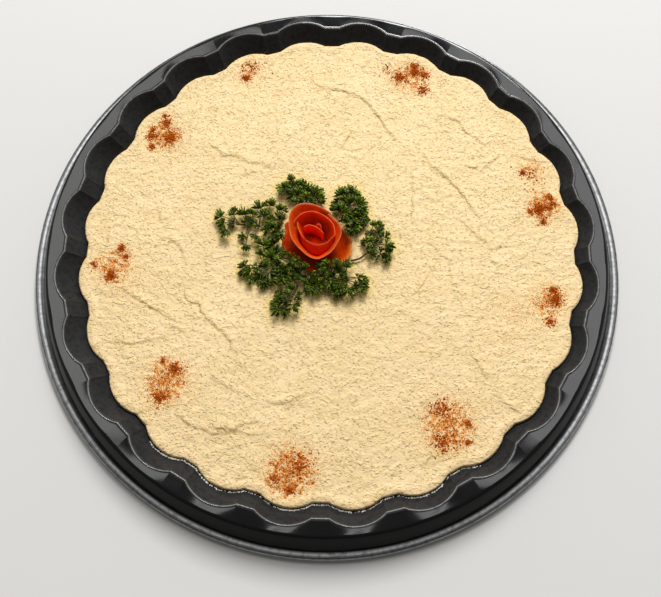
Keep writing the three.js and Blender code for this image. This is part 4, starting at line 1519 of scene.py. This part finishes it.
PETALS: tuple[Petal, ...] = (
    Petal(
        round_rim((
            (104, 14.4, 11), (86, 15, 13.2), (66, 15.2, 14.4), (48, 15.4, 14.8), (32, 15.9, 15),
            (14, 17.2, 15), (-5, 18.2, 14.6), (-27, 17.8, 14), (-50, 18.3, 13.2), (-70, 19.2, 12.3),
            (-86, 19.6, 11.8), (-102, 18.4, 12.2), (-121, 16.6, 13.4), (-142, 16.6, 14.8),
            (-161, 16.8, 15.6), (-186, 17.4, 16.6), (-208, 19.8, 17.6), (-222, 20.7, 18.2),
            (-237, 20.8, 18.4), (-251, 19.9, 18.2), (-269, 18.1, 17.4), (-290, 17, 16.4),
            (-310, 16.7, 15.4), (-328, 17.2, 13.8), (-344, 17.6, 11),
        )),
        0.52, 0.72, 0.84, Face.OUTER, (0.05, 0.1),
    ),
    Petal(
        round_rim((
            (190, 14, 12.5), (172, 14.9, 14.6), (156, 15.2, 15.8), (141, 15, 16.4), (130, 14.7, 16.6),
            (113, 14.2, 16.6), (91, 13.3, 16.4), (66, 12.3, 16.2), (34, 12.4, 16), (8, 13.2, 16),
            (-14, 14, 16.2), (-29, 12.6, 15.6), (-49, 11.8, 15.2), (-75, 10.5, 15), (-106, 9.4, 15.2),
            (-140, 9.2, 15.8), (-172, 10.4, 16.4), (-196, 12.1, 17), (-213, 12.9, 17.4),
        )),
        0.62, 0.9, 1.5, Face.INNER, (0.12, 0.03),
    ),
    Petal(
        (
            (-8.4, 2.6, 10.4), (-7.2, 3.6, 12.4), (-4.9, 4.4, 13.4), (-2.7, 4.4, 13.8), (0, 3.6, 13.8),
            (2.2, 2.5, 13.4), (4.1, 1.3, 12.8), (5.6, -0.2, 11.6), (6.4, -2.2, 9.8),
        ),
        0.86, 0.98, 0.98, Face.HEART, (0.12, 0.12),
    ),
    Petal(
        (
            (0.2, 5.2, 10.6), (1.4, 5.4, 12.6), (2.6, 5.3, 14.2), (3.6, 4.6, 14.4), (4.4, 3.4, 13),
            (4.9, 2.2, 11),
        ),
        0.84, 0.94, 0.94, Face.HEART, (0.2, 0.15),
    ),
)


@dataclass
class TomatoRose:
    """Rose of tomato peel: turns of peel that overlap, on a lobed saucer of the same peel."""

    floor_z: float
    finish: bpy.types.Material
    base_lift: float = 3.2
    head_x: float = -8.0
    head_y: float = 9.3
    peel: float = 1.5
    curl: float = 1.6
    turn_steps: int = 220
    half_section: int = 16
    base_steps: int = 240
    base_edge: tuple[Point, ...] = (
        (4, 24.4), (17, 22.0), (40, 19.5), (90, 19.0), (120, 20.6), (136, 23.0), (148, 25.2), (160, 22.2),
        (175, 23.4), (192, 22.7), (211, 21.8), (233, 19.4), (245, 20.6), (260, 23.2), (273, 22.2),
        (295, 20.4), (312, 24.0), (326, 26.0), (335, 26.4), (349, 25.4),
    )

    def petal(self, plan: Petal, seed: int) -> tuple[Array, list[Array], dict[str, Array]]:
        """One turn of peel, as sections across it that follow each other along it.

        The middle line of a section runs from the foot through the belly to the rim: a quadratic
        in its height h. The last part of it curls outwards by the square of what h is over 0.6.
        On the guest's side the belly is moved towards near_belly by (-sin angle)^1.5.
        The thickness shrinks towards the rim as 1 - 0.6 h^3, and the two sides meet in a rounded
        edge, because h is the sine of even steps.

        Args:
            plan: the turn of peel.
            seed: picks its small waves.

        Returns:
            Points, faces, and the numbers kept at the points.
        """
        rim = spline(np.array(plan.rim), self.turn_steps)
        share = np.linspace(0.0, 1.0, self.turn_steps)
        away = unit(rim[:, :2])
        length = np.linalg.norm(np.diff(rim[:, :2], axis=0), axis=1).sum()
        rim[:, 2] += 0.3 * noise(share * length / 7.0, np.full_like(share, seed), 91)
        rim[:, :2] += away * 0.3 * noise(share * length / 9.0, np.full_like(share, seed), 92)[:, None]
        rise = smooth_step(0.0, plan.fade[0], share) * smooth_step(0.0, plan.fade[1], 1.0 - share)
        top = rim[:, 2] * (0.45 + 0.55 * rise)
        level = np.sin(np.linspace(0.0, 1.0, self.half_section) * np.pi / 2.0)
        h = np.concatenate([level, level[-2::-1]])[None, :]
        outside = np.concatenate([np.ones(self.half_section), -np.ones(self.half_section - 1)])[None, :]
        near = np.clip(-away[:, 1:], 0.0, 1.0) ** 1.5
        belly = plan.belly + (plan.near_belly - plan.belly) * near
        gather = plan.gather + (plan.near_belly - plan.belly) * 0.6 * near
        reach = gather * (1 - h) * (1 - 2 * h) + belly * 4 * h * (1 - h) + h * (2 * h - 1)
        reach = reach * (1.0 - 0.16 * (1.0 - rise)[:, None])
        middle = rim[:, None, :2] * reach[..., None]
        normal = unit(np.gradient(rim[:, :2], axis=0))[:, ::-1] * np.array([-1.0, 1.0])
        outward = normal * np.sign((normal * rim[:, :2]).sum(-1, keepdims=True).mean() or 1.0)
        lean = self.curl * (np.clip(h - 0.6, 0.0, 1.0) / 0.4) ** 2 - self.curl
        thick = self.peel / 2.0 * (1.0 - 0.6 * h**3) * np.where(h > 0.99, 0.2, 1.0)
        streak = 0.12 * noise(share[:, None] * length / 1.6, 2.0 * h, 93 + seed)
        shift = np.where(plan.face is Face.OUTER, 1.0, 0.35) * lean * h + outside * thick + streak
        flat = middle + outward[:, None, :] * shift[..., None]
        z = self.floor_z + 0.8 + (top[:, None] - 0.8) * h
        points = np.concatenate([flat + np.array([self.head_x, self.head_y]), z[..., None]], -1)
        faces = tube_faces(self.turn_steps, points.shape[1])
        whole = h * np.ones((self.turn_steps, 1))
        warm = np.where(outside > 0.0, plan.face.value[0], plan.face.value[1]) * np.ones_like(whole)
        near_rim = smooth_step(0.45, 0.97, whole)
        values = {
            "cut": 0.42 * smooth_step(0.955, 1.0, whole),
            "skin": np.where(outside > 0.0, 1.0, 0.0) * np.ones_like(whole),
            "blush": np.clip(warm * (0.45 + 0.55 * near_rim) + 0.25 * near_rim**3, 0.0, 1.0),
            "ripe": np.zeros_like(whole),
            # Darker towards the foot of each turn, most in the heart: painted shade.
            "saucer": (0.9 if plan.face is Face.HEART else 0.2) * (1.0 - whole),
        }
        kept = {key: np.concatenate([value.ravel(), np.zeros(2)]) for key, value in values.items()}
        return np.vstack([points.reshape(-1, 3), points[0].mean(0), points[-1].mean(0)]), faces, kept

    def base(self) -> tuple[Array, list[Array], dict[str, Array]]:
        """The lobed saucer under the rose, as rings from a pole below to a pole above.

        The distance of its edge follows a smooth closed curve through given distances. Its rim
        curls up by a wave with three crests. Each ring has a distance as a share of the edge's, a
        rise, and how much it belongs to the edge.

        Returns:
            Points, faces, and the numbers kept at the points.
        """
        angle = np.linspace(0.0, 2.0 * np.pi, self.base_steps, endpoint=False)
        given = np.array([(a - 360.0 * turn, r) for turn in (1, 0, -1) for a, r in self.base_edge])
        fine = spline(given, 12 * len(given))
        around = 4.0 * np.cos(angle), 4.0 * np.sin(angle)
        edge = np.interp(np.degrees(angle), fine[:, 0], fine[:, 1]) + 0.3 * noise(*around, 64)
        lift = self.base_lift * (0.72 + 0.28 * np.cos(3.0 * angle + 1.0)) * (edge / 24.0) ** 2
        rows = []
        for share in (0.25, 0.5, 0.66, 0.78, 0.88, 0.95, 0.985):
            rows.append((edge * share, lift * np.clip((share - 0.66) / 0.34, 0.0, 1.0) ** 1.4, 0.0, share))
        for share, rise in ((1.0, 0.3), (0.995, 0.7), (0.975, 0.95)):
            rows.append((edge * share, lift + rise, 1.0, share))
        for share in (0.93, 0.86, 0.77, 0.68, 0.6, 0.4, 0.2):
            bowl = lift * np.clip((share - 0.62) / 0.36, 0.0, 1.0) ** 1.3
            rows.append((edge * share, self.peel * (1.0 - 0.42 * share**4) + bowl, share**5, share))
        uneven = 0.3 * noise(*around, 65)
        rings, cut, ripe, blush = [], [], [], []
        sunny = np.clip(np.cos(angle - math.radians(-22.0)), 0.0, 1.0) ** 1.5
        for order, (radius, rise, edgeness, share) in enumerate(rows):
            lifted = self.floor_z + rise + (uneven * share if 2 < order < 14 else 0.0)
            rings.append(round_points(radius, angle, lifted) + (*ROSE_PLACE, 0.0))
            blush.append(edgeness * (0.3 + 0.7 * sunny))
            ripe.append(smooth_step(0.84, 1.0, np.array(share)) * sunny * 0.75)
            cut.append(np.full_like(angle, 0.2 if edgeness == 1.0 else 0.0))
        poles = [[*ROSE_PLACE, self.floor_z], [*ROSE_PLACE, self.floor_z + self.peel]]
        plain, whole = [np.zeros_like(angle)] * len(rows), [np.ones_like(angle)] * len(rows)
        # The whole saucer takes the darker colour: painted shade.
        values = {"cut": cut, "ripe": ripe, "blush": blush, "skin": plain, "saucer": whole}
        kept = {key: np.concatenate([np.concatenate(value), np.zeros(2)]) for key, value in values.items()}
        return np.vstack([*rings, poles]), tube_faces(len(rows), len(angle)), kept

    def build(self) -> bpy.types.Object:
        """The rose as one piece: its base and its turns of peel.

        Returns:
            The finished piece.
        """
        parts = [self.base()] + [self.petal(plan, seed) for seed, plan in enumerate(PETALS)]
        starts = np.cumsum([0] + [len(part[0]) for part in parts])
        faces = [block + start for part, start in zip(parts, starts) for block in part[1]]
        attributes = {key: np.concatenate([part[2][key] for part in parts]) for key in parts[0][2]}
        points = np.vstack([part[0] for part in parts])
        piece = make_piece("tomato_peel_rose", points, faces, self.finish, attributes)
        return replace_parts(piece, "tomato_rose")


# ---- Parsley


@dataclass(frozen=True)
class SprigPlan:
    """Where one sprig lies: the run of its stem, and x, y and radius of each leaflet."""

    node: str
    stem: tuple[Point, ...]
    leaflets: tuple[Triple, ...]


SPRIGS: tuple[SprigPlan, ...] = (
    SprigPlan("parsley_back_left", ((-13, 34), (-15, 39), (-22, 43)), (
        (-30.6, 47.1, 5.3), (-23.2, 50.3, 5.8), (-24.6, 42.2, 5.4), (-12.9, 46.4, 5.8), (-7, 43.1, 5.8),
        (-15.8, 39.5, 5.2), (-4.6, 37.4, 4.6), (-19.7, 36.6, 3.6), (-25.5, 54.5, 3.6), (-16.9, 50.1, 4.6),
        (-10.4, 37.8, 4.4), (-29.2, 50.2, 3.8), (-19.8, 44.3, 4.6),
    )),
    SprigPlan("parsley_back_right", ((14, 25), (17, 30), (16, 37)), (
        (10.6, 43, 5.3), (17.5, 44.1, 5.8), (15.4, 36.4, 6.2), (6.4, 34.5, 4.6), (23.1, 34.6, 5.4),
        (23.6, 28.2, 6.0), (18.4, 25.8, 5.6), (27.2, 21.8, 4.8), (20.8, 17.2, 5.2), (15.6, 19.5, 3.6),
        (7.2, 28.5, 4.8), (12.2, 23.6, 4.8), (9.6, 32.3, 4.4), (13.8, 18, 4.6), (16.3, 11.7, 4.0),
        (20.5, 41.5, 4.2), (19.6, 19.8, 4.0),
    )),
    SprigPlan("parsley_left", ((-33, 17), (-47, 19), (-63, 20.5)), (
        (-74.4, 26.4, 4.3), (-72.8, 21.1, 3.8), (-70.1, 14.2, 4.3), (-65.3, 28.4, 4.3), (-66, 21, 3.8),
        (-57.5, 28.4, 4.8), (-55.4, 23.1, 4.3), (-51.7, 28.4, 3.8), (-52.5, 20.9, 3.4), (-46, 33.7, 4.8),
        (-39.2, 35.8, 4.8), (-43.9, 27.3, 4.8), (-39.9, 24, 3.8), (-31.4, 31.4, 4.3), (-32.8, 25, 4.4),
        (-34.6, 18.7, 4.0), (-41.3, 15.6, 4.6), (-58, 11.5, 3.4), (-49.3, 10.4, 3.4), (-55.8, 3.4, 3.6),
        (-35.1, 14.9, 4.0), (-31.9, 9.5, 4.2), (-38.6, 18.3, 3.8), (-36.2, 8.2, 3.8), (-49.6, 20.2, 3.2),
    )),
    SprigPlan("parsley_front_left", ((-33, -4), (-39, -8), (-44, -12)), (
        (-44.4, 5.2, 4.8), (-38.7, 5.4, 5.4), (-36, 0, 4.6), (-45.2, -2, 4.3), (-38.5, -4.1, 5.8),
        (-34.8, -7.4, 4.0), (-42.2, -10.3, 4.3), (-44.8, -17.4, 5.3), (-37.3, -17.4, 5.3),
        (-42.8, -23.4, 4.6), (-36.2, -23.2, 3.6), (-57, -11.2, 4.3), (-58, -16.3, 3.2),
        (-53.4, -15.3, 4.6), (-52.2, -21.6, 3.6), (-30.6, -4.7, 4.6), (-33, -13.3, 4.4),
        (-29, -16.3, 4.6), (-31.5, -22, 4.6), (-23.9, -8.4, 4.4), (-19.8, -11.5, 4.0),
        (-25.6, -13.3, 4.0), (-48.8, -13.2, 3.4),
    )),
    SprigPlan("parsley_front", ((-20, -25), (-23, -31), (-27, -35)), (
        (-32.3, -33, 4.4), (-35, -38.4, 4.6), (-28.5, -36.5, 4.6), (-33.4, -43.4, 4.6),
        (-28.3, -43.6, 4.0), (-21.9, -41.4, 4.6), (-19.6, -33.4, 3.8), (-23.8, -27.7, 4.0),
        (-27.1, -30.7, 3.4),
    )),
    SprigPlan("parsley_front_right", ((-14, -18.9), (0, -20.9), (14, -22)), (
        (-24.6, -14.6, 3.8), (-20.4, -18.4, 3.8), (-24.4, -22, 3.8), (-15.6, -21.6, 4.4),
        (-13.2, -26.6, 4.4), (-8.6, -30.2, 4.2), (-5.2, -21.4, 4.4), (-4.2, -26.2, 4.6),
        (2.4, -20.2, 4.6), (9.4, -16.2, 4.4), (3.4, -25.6, 5.2), (11, -20.4, 4.6), (9, -27.6, 5.2),
        (7.1, -31.8, 4.4), (14.6, -31, 4.8), (19.4, -26.8, 4.3), (25.4, -23.6, 4.4), (24.4, -28.2, 3.8),
        (22, -20.6, 3.6), (-15.7, -14.8, 3.8), (-10.3, -20, 3.8), (-4.1, -14, 4.4), (1, -13.2, 4.4),
        (6.7, -12.3, 4.4), (13.3, -12.3, 4.0), (-1.3, -18.3, 3.8), (-19.3, -18.2, 3.6),
    )),
    SprigPlan("parsley_right", ((14.5, -8), (22.3, -6.2), (26.4, -3.3), (31, -0.5), (34, 4)), (
        (29, 5.6, 3.9), (31.2, 12.4, 3.8), (35.4, 13.2, 4.2), (40.8, 10, 4.2), (42.2, 2, 4.6),
        (38.4, -3.5, 4.6), (41.3, -7.2, 3.6), (30.6, -3.2, 3.6), (30.4, 0.8, 3.6), (34.3, 6, 3.8),
        (32.5, 17.9, 3.4), (36.9, 17.8, 3.4), (42.1, -1.5, 3.6), (25.7, 6, 3.0),
    )),
)


@dataclass
class ParsleySprig:
    """One sprig of curly parsley: a stem, stalks, and leaflets of crisped lobes."""

    plan: SprigPlan
    spread: Spread
    finish: bpy.types.Material
    seed: int
    teeth: int = 3
    outward: int = 5
    blade: float = 0.26
    stem_r: float = 0.75
    stalk_r: float = 0.34
    stem_lift: float = 1.6
    leaf_lift: float = 3.6
    stalk_steps: int = 13
    # One row a lobe: its turn off the stalk, its rise in radians, its length as a share of the leaflet.
    hand: tuple[Triple, ...] = (
        (0.0, 0.08, 1.5), (0.66, 0.12, 1.4), (-0.66, 0.12, 1.4), (1.35, 0.25, 1.15), (-1.35, 0.25, 1.15),
        (0.3, 0.6, 1.05), (-0.45, 0.8, 0.95),
    )

    def ground(self, x: Array, y: Array) -> Array:
        """Lowest height for a leaf: over the hummus, or over the edge of the rose's saucer."""
        apart = np.hypot(x - ROSE_PLACE[0], y - ROSE_PLACE[1])
        return self.spread.smooth(x, y) + 0.75 + 5.6 * smooth_step(-29.0, -25.5, -apart)

    def leaflet_nodes(self, rng: np.random.Generator) -> tuple[Array, Array]:
        """Middle of each leaflet, held above the hummus, and its radius."""
        plan = np.array(self.plan.leaflets, float)
        x, y, size = plan.T
        lift = self.leaf_lift - 0.75 + rng.uniform(-0.6, 1.8, len(x))
        return np.stack([x, y, self.ground(x, y) + lift], -1), size

    def lobes_of(
        self, nodes: Array, size: Array, heading: Array, rng: np.random.Generator
    ) -> tuple[Array, list[Array], dict[str, Array]]:
        """All crisped lobes of all leaflets.

        A leaflet is a hand of lobes that open away from its stalk, some low and some standing. A
        lobe is a wedge on a narrow foot. At a from -1 to 1 across it and r from 0 to 1 along it,
        its half angle is spread (0.55 + 0.45 r) a, and its reach is r (1 - 0.16 a^2)(1 - cut r^3),
        where cut is deep between its three teeth and slight at their tips. The margin is crisped
        by r^1.5 sin(waves a + phase), and the teeth turn up and down by turns. The other side is
        the same sheet moved by the thickness everywhere but on the outline, which both share.

        Args:
            nodes: middles of the leaflets.
            size: radii of the leaflets.
            heading: directions in which the stalks reach the leaflets.
            rng: source of random numbers.

        Returns:
            Points, faces, and the numbers kept at the points.
        """
        hand = np.array(self.hand)
        total = len(nodes) * len(hand)
        owner = np.repeat(np.arange(len(nodes)), len(hand))
        turned, rise, scale = np.tile(hand, (len(nodes), 1)).T
        along = heading[owner] + turned + rng.normal(0.0, 0.24, total)
        rise = (rise + rng.normal(0.0, 0.16, total))[:, None, None]
        scale = (scale * rng.uniform(0.88, 1.14, total) * size[owner])[:, None, None]
        columns = 4 * self.teeth + 1
        a = np.linspace(-1.0, 1.0, columns)[None, :, None]
        r = np.linspace(0.05, 1.0, self.outward)[None, None, :]
        place = np.arange(columns) % 4
        low, high = np.choose(place, [0.28, 0.05, 0.0, 0.05]), np.choose(place, [0.46, 0.12, 0.05, 0.12])
        cut = rng.uniform(low, high, (total, columns))[:, :, None]
        one = (total, 1, 1)
        spread = rng.uniform(0.38, 0.54, one)
        out = r * (1.0 - 0.16 * a**2) * (1.0 - cut * r**3)
        turn = a * spread * (0.55 + 0.45 * r)
        waves, phase = rng.uniform(3.6, 6.4, one), rng.uniform(0.0, 2.0 * np.pi, one)
        crisp = rng.uniform(0.08, 0.18, one) * r**1.5 * np.sin(waves * a + phase)
        tooth = np.where(np.arange(columns) // 4 % 2 == 0, 1.0, -1.0)[None, :, None]
        tip = 1.0 - np.abs(place - 2)[None, :, None] / 2.0
        w = crisp + 0.1 * tooth * r**3 * tip - rng.uniform(-0.1, 0.35, one) * out**2
        u, v = out * np.cos(turn), out * np.sin(turn)
        forward, up = u * np.cos(rise) - w * np.sin(rise), u * np.sin(rise) + w * np.cos(rise)
        cos, sin = np.cos(along)[:, None, None], np.sin(along)[:, None, None]
        blade = np.stack([forward * cos - v * sin, forward * sin + v * cos, up], -1) * scale[..., None]
        back, toward = 0.42 * size[owner], heading[owner]
        blade = blade + (nodes[owner] - round_points(back, toward, 0.3))[:, None, None, :]
        floor = self.ground(blade[..., 0], blade[..., 1])
        over = blade[..., 2] - floor
        blade[..., 2] = floor + np.where(over > 0.0, over, 0.12 * np.tanh(over))
        normal = unit(np.cross(np.gradient(blade, axis=1), np.gradient(blade, axis=2)))
        under = (blade + normal * self.blade)[:, 1:-1, 1:-1].reshape(total, -1, 3)
        points = np.concatenate([blade.reshape(total, -1, 3), under], axis=1)
        number = np.arange(columns * self.outward).reshape(columns, self.outward)
        below = number.copy()
        inner = below[1:-1, 1:-1]
        inner[:] = number.size + np.arange(inner.size).reshape(inner.shape)
        sheet, corners = self.sheet_faces(number)
        faces = [sheet, below.ravel()[sheet][:, ::-1], corners, below.ravel()[corners][:, ::-1]]
        # Leaf colour kept at each point: painted shade at the foot of a lobe, in the troughs of its crisping,
        # on low leaves and on the underside; painted light at the tips; random tone per lobe.
        tone_and_tip_light = rng.uniform(0.55, 1.25, one)
        high_up = 0.55 + 0.45 * np.clip(over / 4.5, 0.0, 1.0)
        painted_shading = r**0.9 * (0.8 + 0.2 * np.sin(waves * a + phase)) * tone_and_tip_light * high_up
        far_side = 0.7 * painted_shading[:, 1:-1, 1:-1].reshape(total, -1)
        kept = np.concatenate([painted_shading.reshape(total, -1), far_side], axis=1)
        values = {"reach": kept.ravel(), "stalk": np.zeros(kept.size)}
        return points.reshape(-1, 3), [repeat_faces(block, total, points.shape[1]) for block in faces], values

    def sheet_faces(self, number: Array) -> tuple[Array, Array]:
        """Faces of one side of a lobe.

        The four corner cells are cut from their inner corner outwards. The two sides of a lobe
        share only their outline, so a cut between two points of the outline would be in both.

        Args:
            number: numbers of the points: across, along.

        Returns:
            Cells with four corners, and the eight triangles at the corners.
        """
        cells = grid_faces(*number.shape)
        at = [0, number.shape[1] - 2, -(number.shape[1] - 1), -1]
        inner = set(number[1:-1, 1:-1].ravel().tolist())
        triangles = []
        for cell in cells[at]:
            first = next(k for k, point in enumerate(cell.tolist()) if point in inner)
            turned = np.roll(cell, -first)
            triangles += [turned[[0, 1, 2]], turned[[0, 2, 3]]]
        return np.delete(cells, [index % len(cells) for index in at], axis=0), np.array(triangles)

    def tubes(self, paths: Array, radii: Array, sides: int = 8) -> tuple[Array, list[Array]]:
        """Round closed tubes along paths, each drawn as rings square to the path.

        Args:
            paths: points of every tube: tube, step, coordinate.
            radii: radius of every tube at every step.
            sides: corners of a ring.

        Returns:
            Points and faces.
        """
        count, steps, _ = paths.shape
        along = unit(np.gradient(paths, axis=1))
        side = unit(np.cross(along, np.array([0.13, 0.21, 1.0])))
        up = np.cross(side, along)
        turn = np.linspace(0.0, 2.0 * np.pi, sides, endpoint=False)[None, None, :, None]
        ring = np.cos(turn) * side[:, :, None, :] + np.sin(turn) * up[:, :, None, :]
        points = paths[:, :, None, :] + ring * radii[:, :, None, None]
        points = np.concatenate([points.reshape(count, -1, 3), paths[:, :1], paths[:, -1:]], axis=1)
        each = points.shape[1]
        faces = [block[:, ::-1] for block in tube_faces(steps, sides)]
        return points.reshape(-1, 3), [repeat_faces(block, count, each) for block in faces]

    def stalks(self, nodes: Array, rng: np.random.Generator) -> tuple[Array, list[Array], Array]:
        """Stem along its run, and a bowed stalk from the nearest part of it to every leaflet.

        Args:
            nodes: middles of the leaflets.
            rng: source of random numbers.

        Returns:
            Points, faces, and the direction in plan in which each stalk arrives.
        """
        steps, run = self.stalk_steps, np.array(self.plan.stem, float)
        level = self.spread.smooth(run[:, 0], run[:, 1]) + self.stem_lift + 0.8 * np.arange(len(run))
        stem = spline(np.column_stack([run, level]), steps)
        apart = np.linalg.norm(nodes[:, None, :2] - stem[None, :, :2], axis=-1)
        nearest = np.argmin(apart + 0.35 * np.arange(steps)[::-1], axis=1)
        foot = stem[np.maximum(nearest - 1, 0)]
        t = np.linspace(0.0, 1.0, steps)[None, :, None]
        span = np.linalg.norm(nodes - foot, axis=-1)[:, None, None]
        bow = rng.normal(0.0, 0.1, (len(nodes), 1, 2)) * span
        paths = foot[:, None, :] * (1.0 - t) + nodes[:, None, :] * t
        paths[..., :2] += bow * np.sin(np.pi * t)
        paths[..., 2:] += 0.5 * np.sin(np.pi * t)
        arrive = paths[:, -1, :2] - paths[:, -4, :2]
        paths = np.concatenate([stem[None], paths])
        radii = np.full(paths.shape[:2], self.stalk_r) * np.linspace(1.15, 0.8, steps)
        radii[0] = self.stem_r * np.linspace(1.0, 0.6, steps)
        points, faces = self.tubes(paths, radii)
        return points, faces, np.arctan2(arrive[:, 1], arrive[:, 0])

    def build(self) -> bpy.types.Object:
        """The whole sprig as one piece.

        Returns:
            The finished piece.
        """
        rng = np.random.default_rng(self.seed)
        nodes, size = self.leaflet_nodes(rng)
        stem_points, stem_faces, heading = self.stalks(nodes, rng)
        points, faces, kept = self.lobes_of(nodes, size, heading, rng)
        faces = faces + [block + len(points) for block in stem_faces]
        attributes = {
            "reach": np.concatenate([kept["reach"], np.full(len(stem_points), 0.5)]),
            "stalk": np.concatenate([kept["stalk"], np.ones(len(stem_points))]),
        }
        name = self.plan.node.replace("parsley", "curly_sprig")
        piece = make_piece(name, np.vstack([points, stem_points]), faces, self.finish, attributes)
        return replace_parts(piece, self.plan.node)


# ---- Studio


@dataclass(frozen=True)
class StudioCamera:
    """Camera above the guest's side of the tray, looking down and a little back."""

    lens: float = 45.97
    sensor: float = 36.0
    tilt_deg: float = 19.012
    roll_rad: float = 0.00528
    target: tuple[float, float, float] = (2.38, -35.96, 20.2)
    distance: float = 564.56

    def build(self) -> bpy.types.Object:
        """Camera at its place, with everything in focus.

        Returns:
            The camera.
        """
        tilt = math.radians(self.tilt_deg)
        ahead = np.array([0.0, math.sin(tilt), -math.cos(tilt)])
        right, up = np.array([1.0, 0.0, 0.0]), np.array([0.0, math.cos(tilt), math.sin(tilt)])
        rolled_right = math.cos(self.roll_rad) * right - math.sin(self.roll_rad) * up
        rolled_up = math.sin(self.roll_rad) * right + math.cos(self.roll_rad) * up
        place = (np.array(self.target) - self.distance * ahead) * MM
        data = bpy.data.cameras.new("studio_camera")
        data.lens, data.sensor_width, data.sensor_fit = self.lens, self.sensor, "HORIZONTAL"
        data.clip_start, data.clip_end = 0.01, 20.0
        camera = bpy.data.objects.new("studio_camera", data)
        turn = Matrix((rolled_right, rolled_up, -ahead)).transposed().to_4x4()
        camera.matrix_world = Matrix.Translation(Vector(place)) @ turn
        bpy.context.scene.collection.objects.link(camera)
        bpy.context.scene.camera = camera
        return camera


@dataclass(frozen=True)
class Softbox:
    """Square area light that faces the tray from a given side and height."""

    name: str
    azimuth_deg: float
    zenith_deg: float
    distance: float
    size: float
    power: float
    colour: Colour = (1.0, 1.0, 1.0)

    def build(self) -> bpy.types.Object:
        """Light at its place.

        Returns:
            The light.
        """
        azimuth, zenith = math.radians(self.azimuth_deg), math.radians(self.zenith_deg)
        flat = math.sin(zenith)
        away = Vector((flat * math.cos(azimuth), flat * math.sin(azimuth), math.cos(zenith)))
        data = bpy.data.lights.new(self.name, "AREA")
        data.shape, data.size, data.energy, data.color = "SQUARE", self.size, self.power, self.colour
        light = bpy.data.objects.new(self.name, data)
        light.location = away * self.distance
        light.rotation_euler = away.to_track_quat("Z", "Y").to_euler()
        bpy.context.scene.collection.objects.link(light)
        return light


@dataclass
class Studio:
    """Plain pale floor, soft light all round and three softboxes above, behind the tray."""

    floor_size: float = 6.0
    zenith: Colour = (0.12, 0.12, 0.124)
    middle: Colour = (0.46, 0.45, 0.43)
    horizon: Colour = (0.85, 0.84, 0.81)
    behind_guest: float = 0.35

    def dome(self) -> bpy.types.World:
        """World that is brightest low down, dim above and behind the guest.

        Returns:
            The world.
        """
        world = bpy.data.worlds.new("studio")
        world.use_nodes = True
        kit = NodeKit(world.node_tree)
        toward = kit.add("ShaderNodeTexCoord").outputs["Object"]
        axes = kit.add("ShaderNodeSeparateXYZ", {0: toward}).outputs
        low = kit.mix(kit.span(axes[2], 0.1, 0.36), self.horizon, self.middle)
        sky = kit.mix(kit.span(axes[2], 0.68, 0.9), low, self.zenith)
        colour = kit.mix(kit.span(axes[1], -0.5, 0.2, self.behind_guest, 1.0), (0.0, 0.0, 0.0), sky)
        kit.tree.links.new(colour, world.node_tree.nodes["Background"].inputs["Color"])
        return world

    def build(self) -> None:
        """Adds the camera, the floor and the lights."""
        StudioCamera().build()
        half = self.floor_size / 2.0
        mesh = bpy.data.meshes.new("floor")
        corners = [(-half, -half, 0.0), (half, -half, 0.0), (half, half, 0.0), (-half, half, 0.0)]
        mesh.from_pydata(corners, [], [(0, 1, 2, 3)])
        mesh.materials.append(FloorFinish().build())
        floor = bpy.data.objects.new("floor", mesh)
        bpy.context.scene.collection.objects.link(floor)
        scene = bpy.context.scene
        scene.world = self.dome()
        Softbox("key", 80.0, 46.0, 3.0, 1.05, 97.0).build()
        Softbox("over_left", 118.0, 24.5, 2.2, 0.7, 6.0, (0.98, 1.0, 0.95)).build()
        Softbox("over_right", 62.0, 24.5, 2.2, 0.7, 6.2, (0.98, 0.98, 1.0)).build()
        scene.view_settings.view_transform = "Standard"
        scene.view_settings.look = "None"


def main() -> None:
    """Builds every piece of the tray of hummus in order."""
    logging.basicConfig(level=logging.INFO, format="%(name)s %(message)s")
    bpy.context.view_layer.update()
    Studio().build()
    effects = Effects()
    wall = FlutedWall()
    spread = Spread(wall)
    Tray(wall, TrayFinish().build(effects)).build()
    scraps = HummusFinish("dried_scraps", colour=(0.72, 0.69, 0.62), drift=(0.60, 0.56, 0.46))
    hummus = Hummus(spread, HummusFinish().build(effects), scraps.build(effects))
    hummus.build()
    hummus.smears()
    Paprika(spread, PaprikaFinish().build()).build()
    rose_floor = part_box("tomato_rose")[0].z / MM
    TomatoRose(rose_floor, TomatoFinish().build(effects)).build()
    parsley = ParsleyFinish().build(effects)
    for order, plan in enumerate(SPRIGS):
        ParsleySprig(plan, spread, parsley, seed=40 + order).build()


if __name__ == "__main__":
    main()
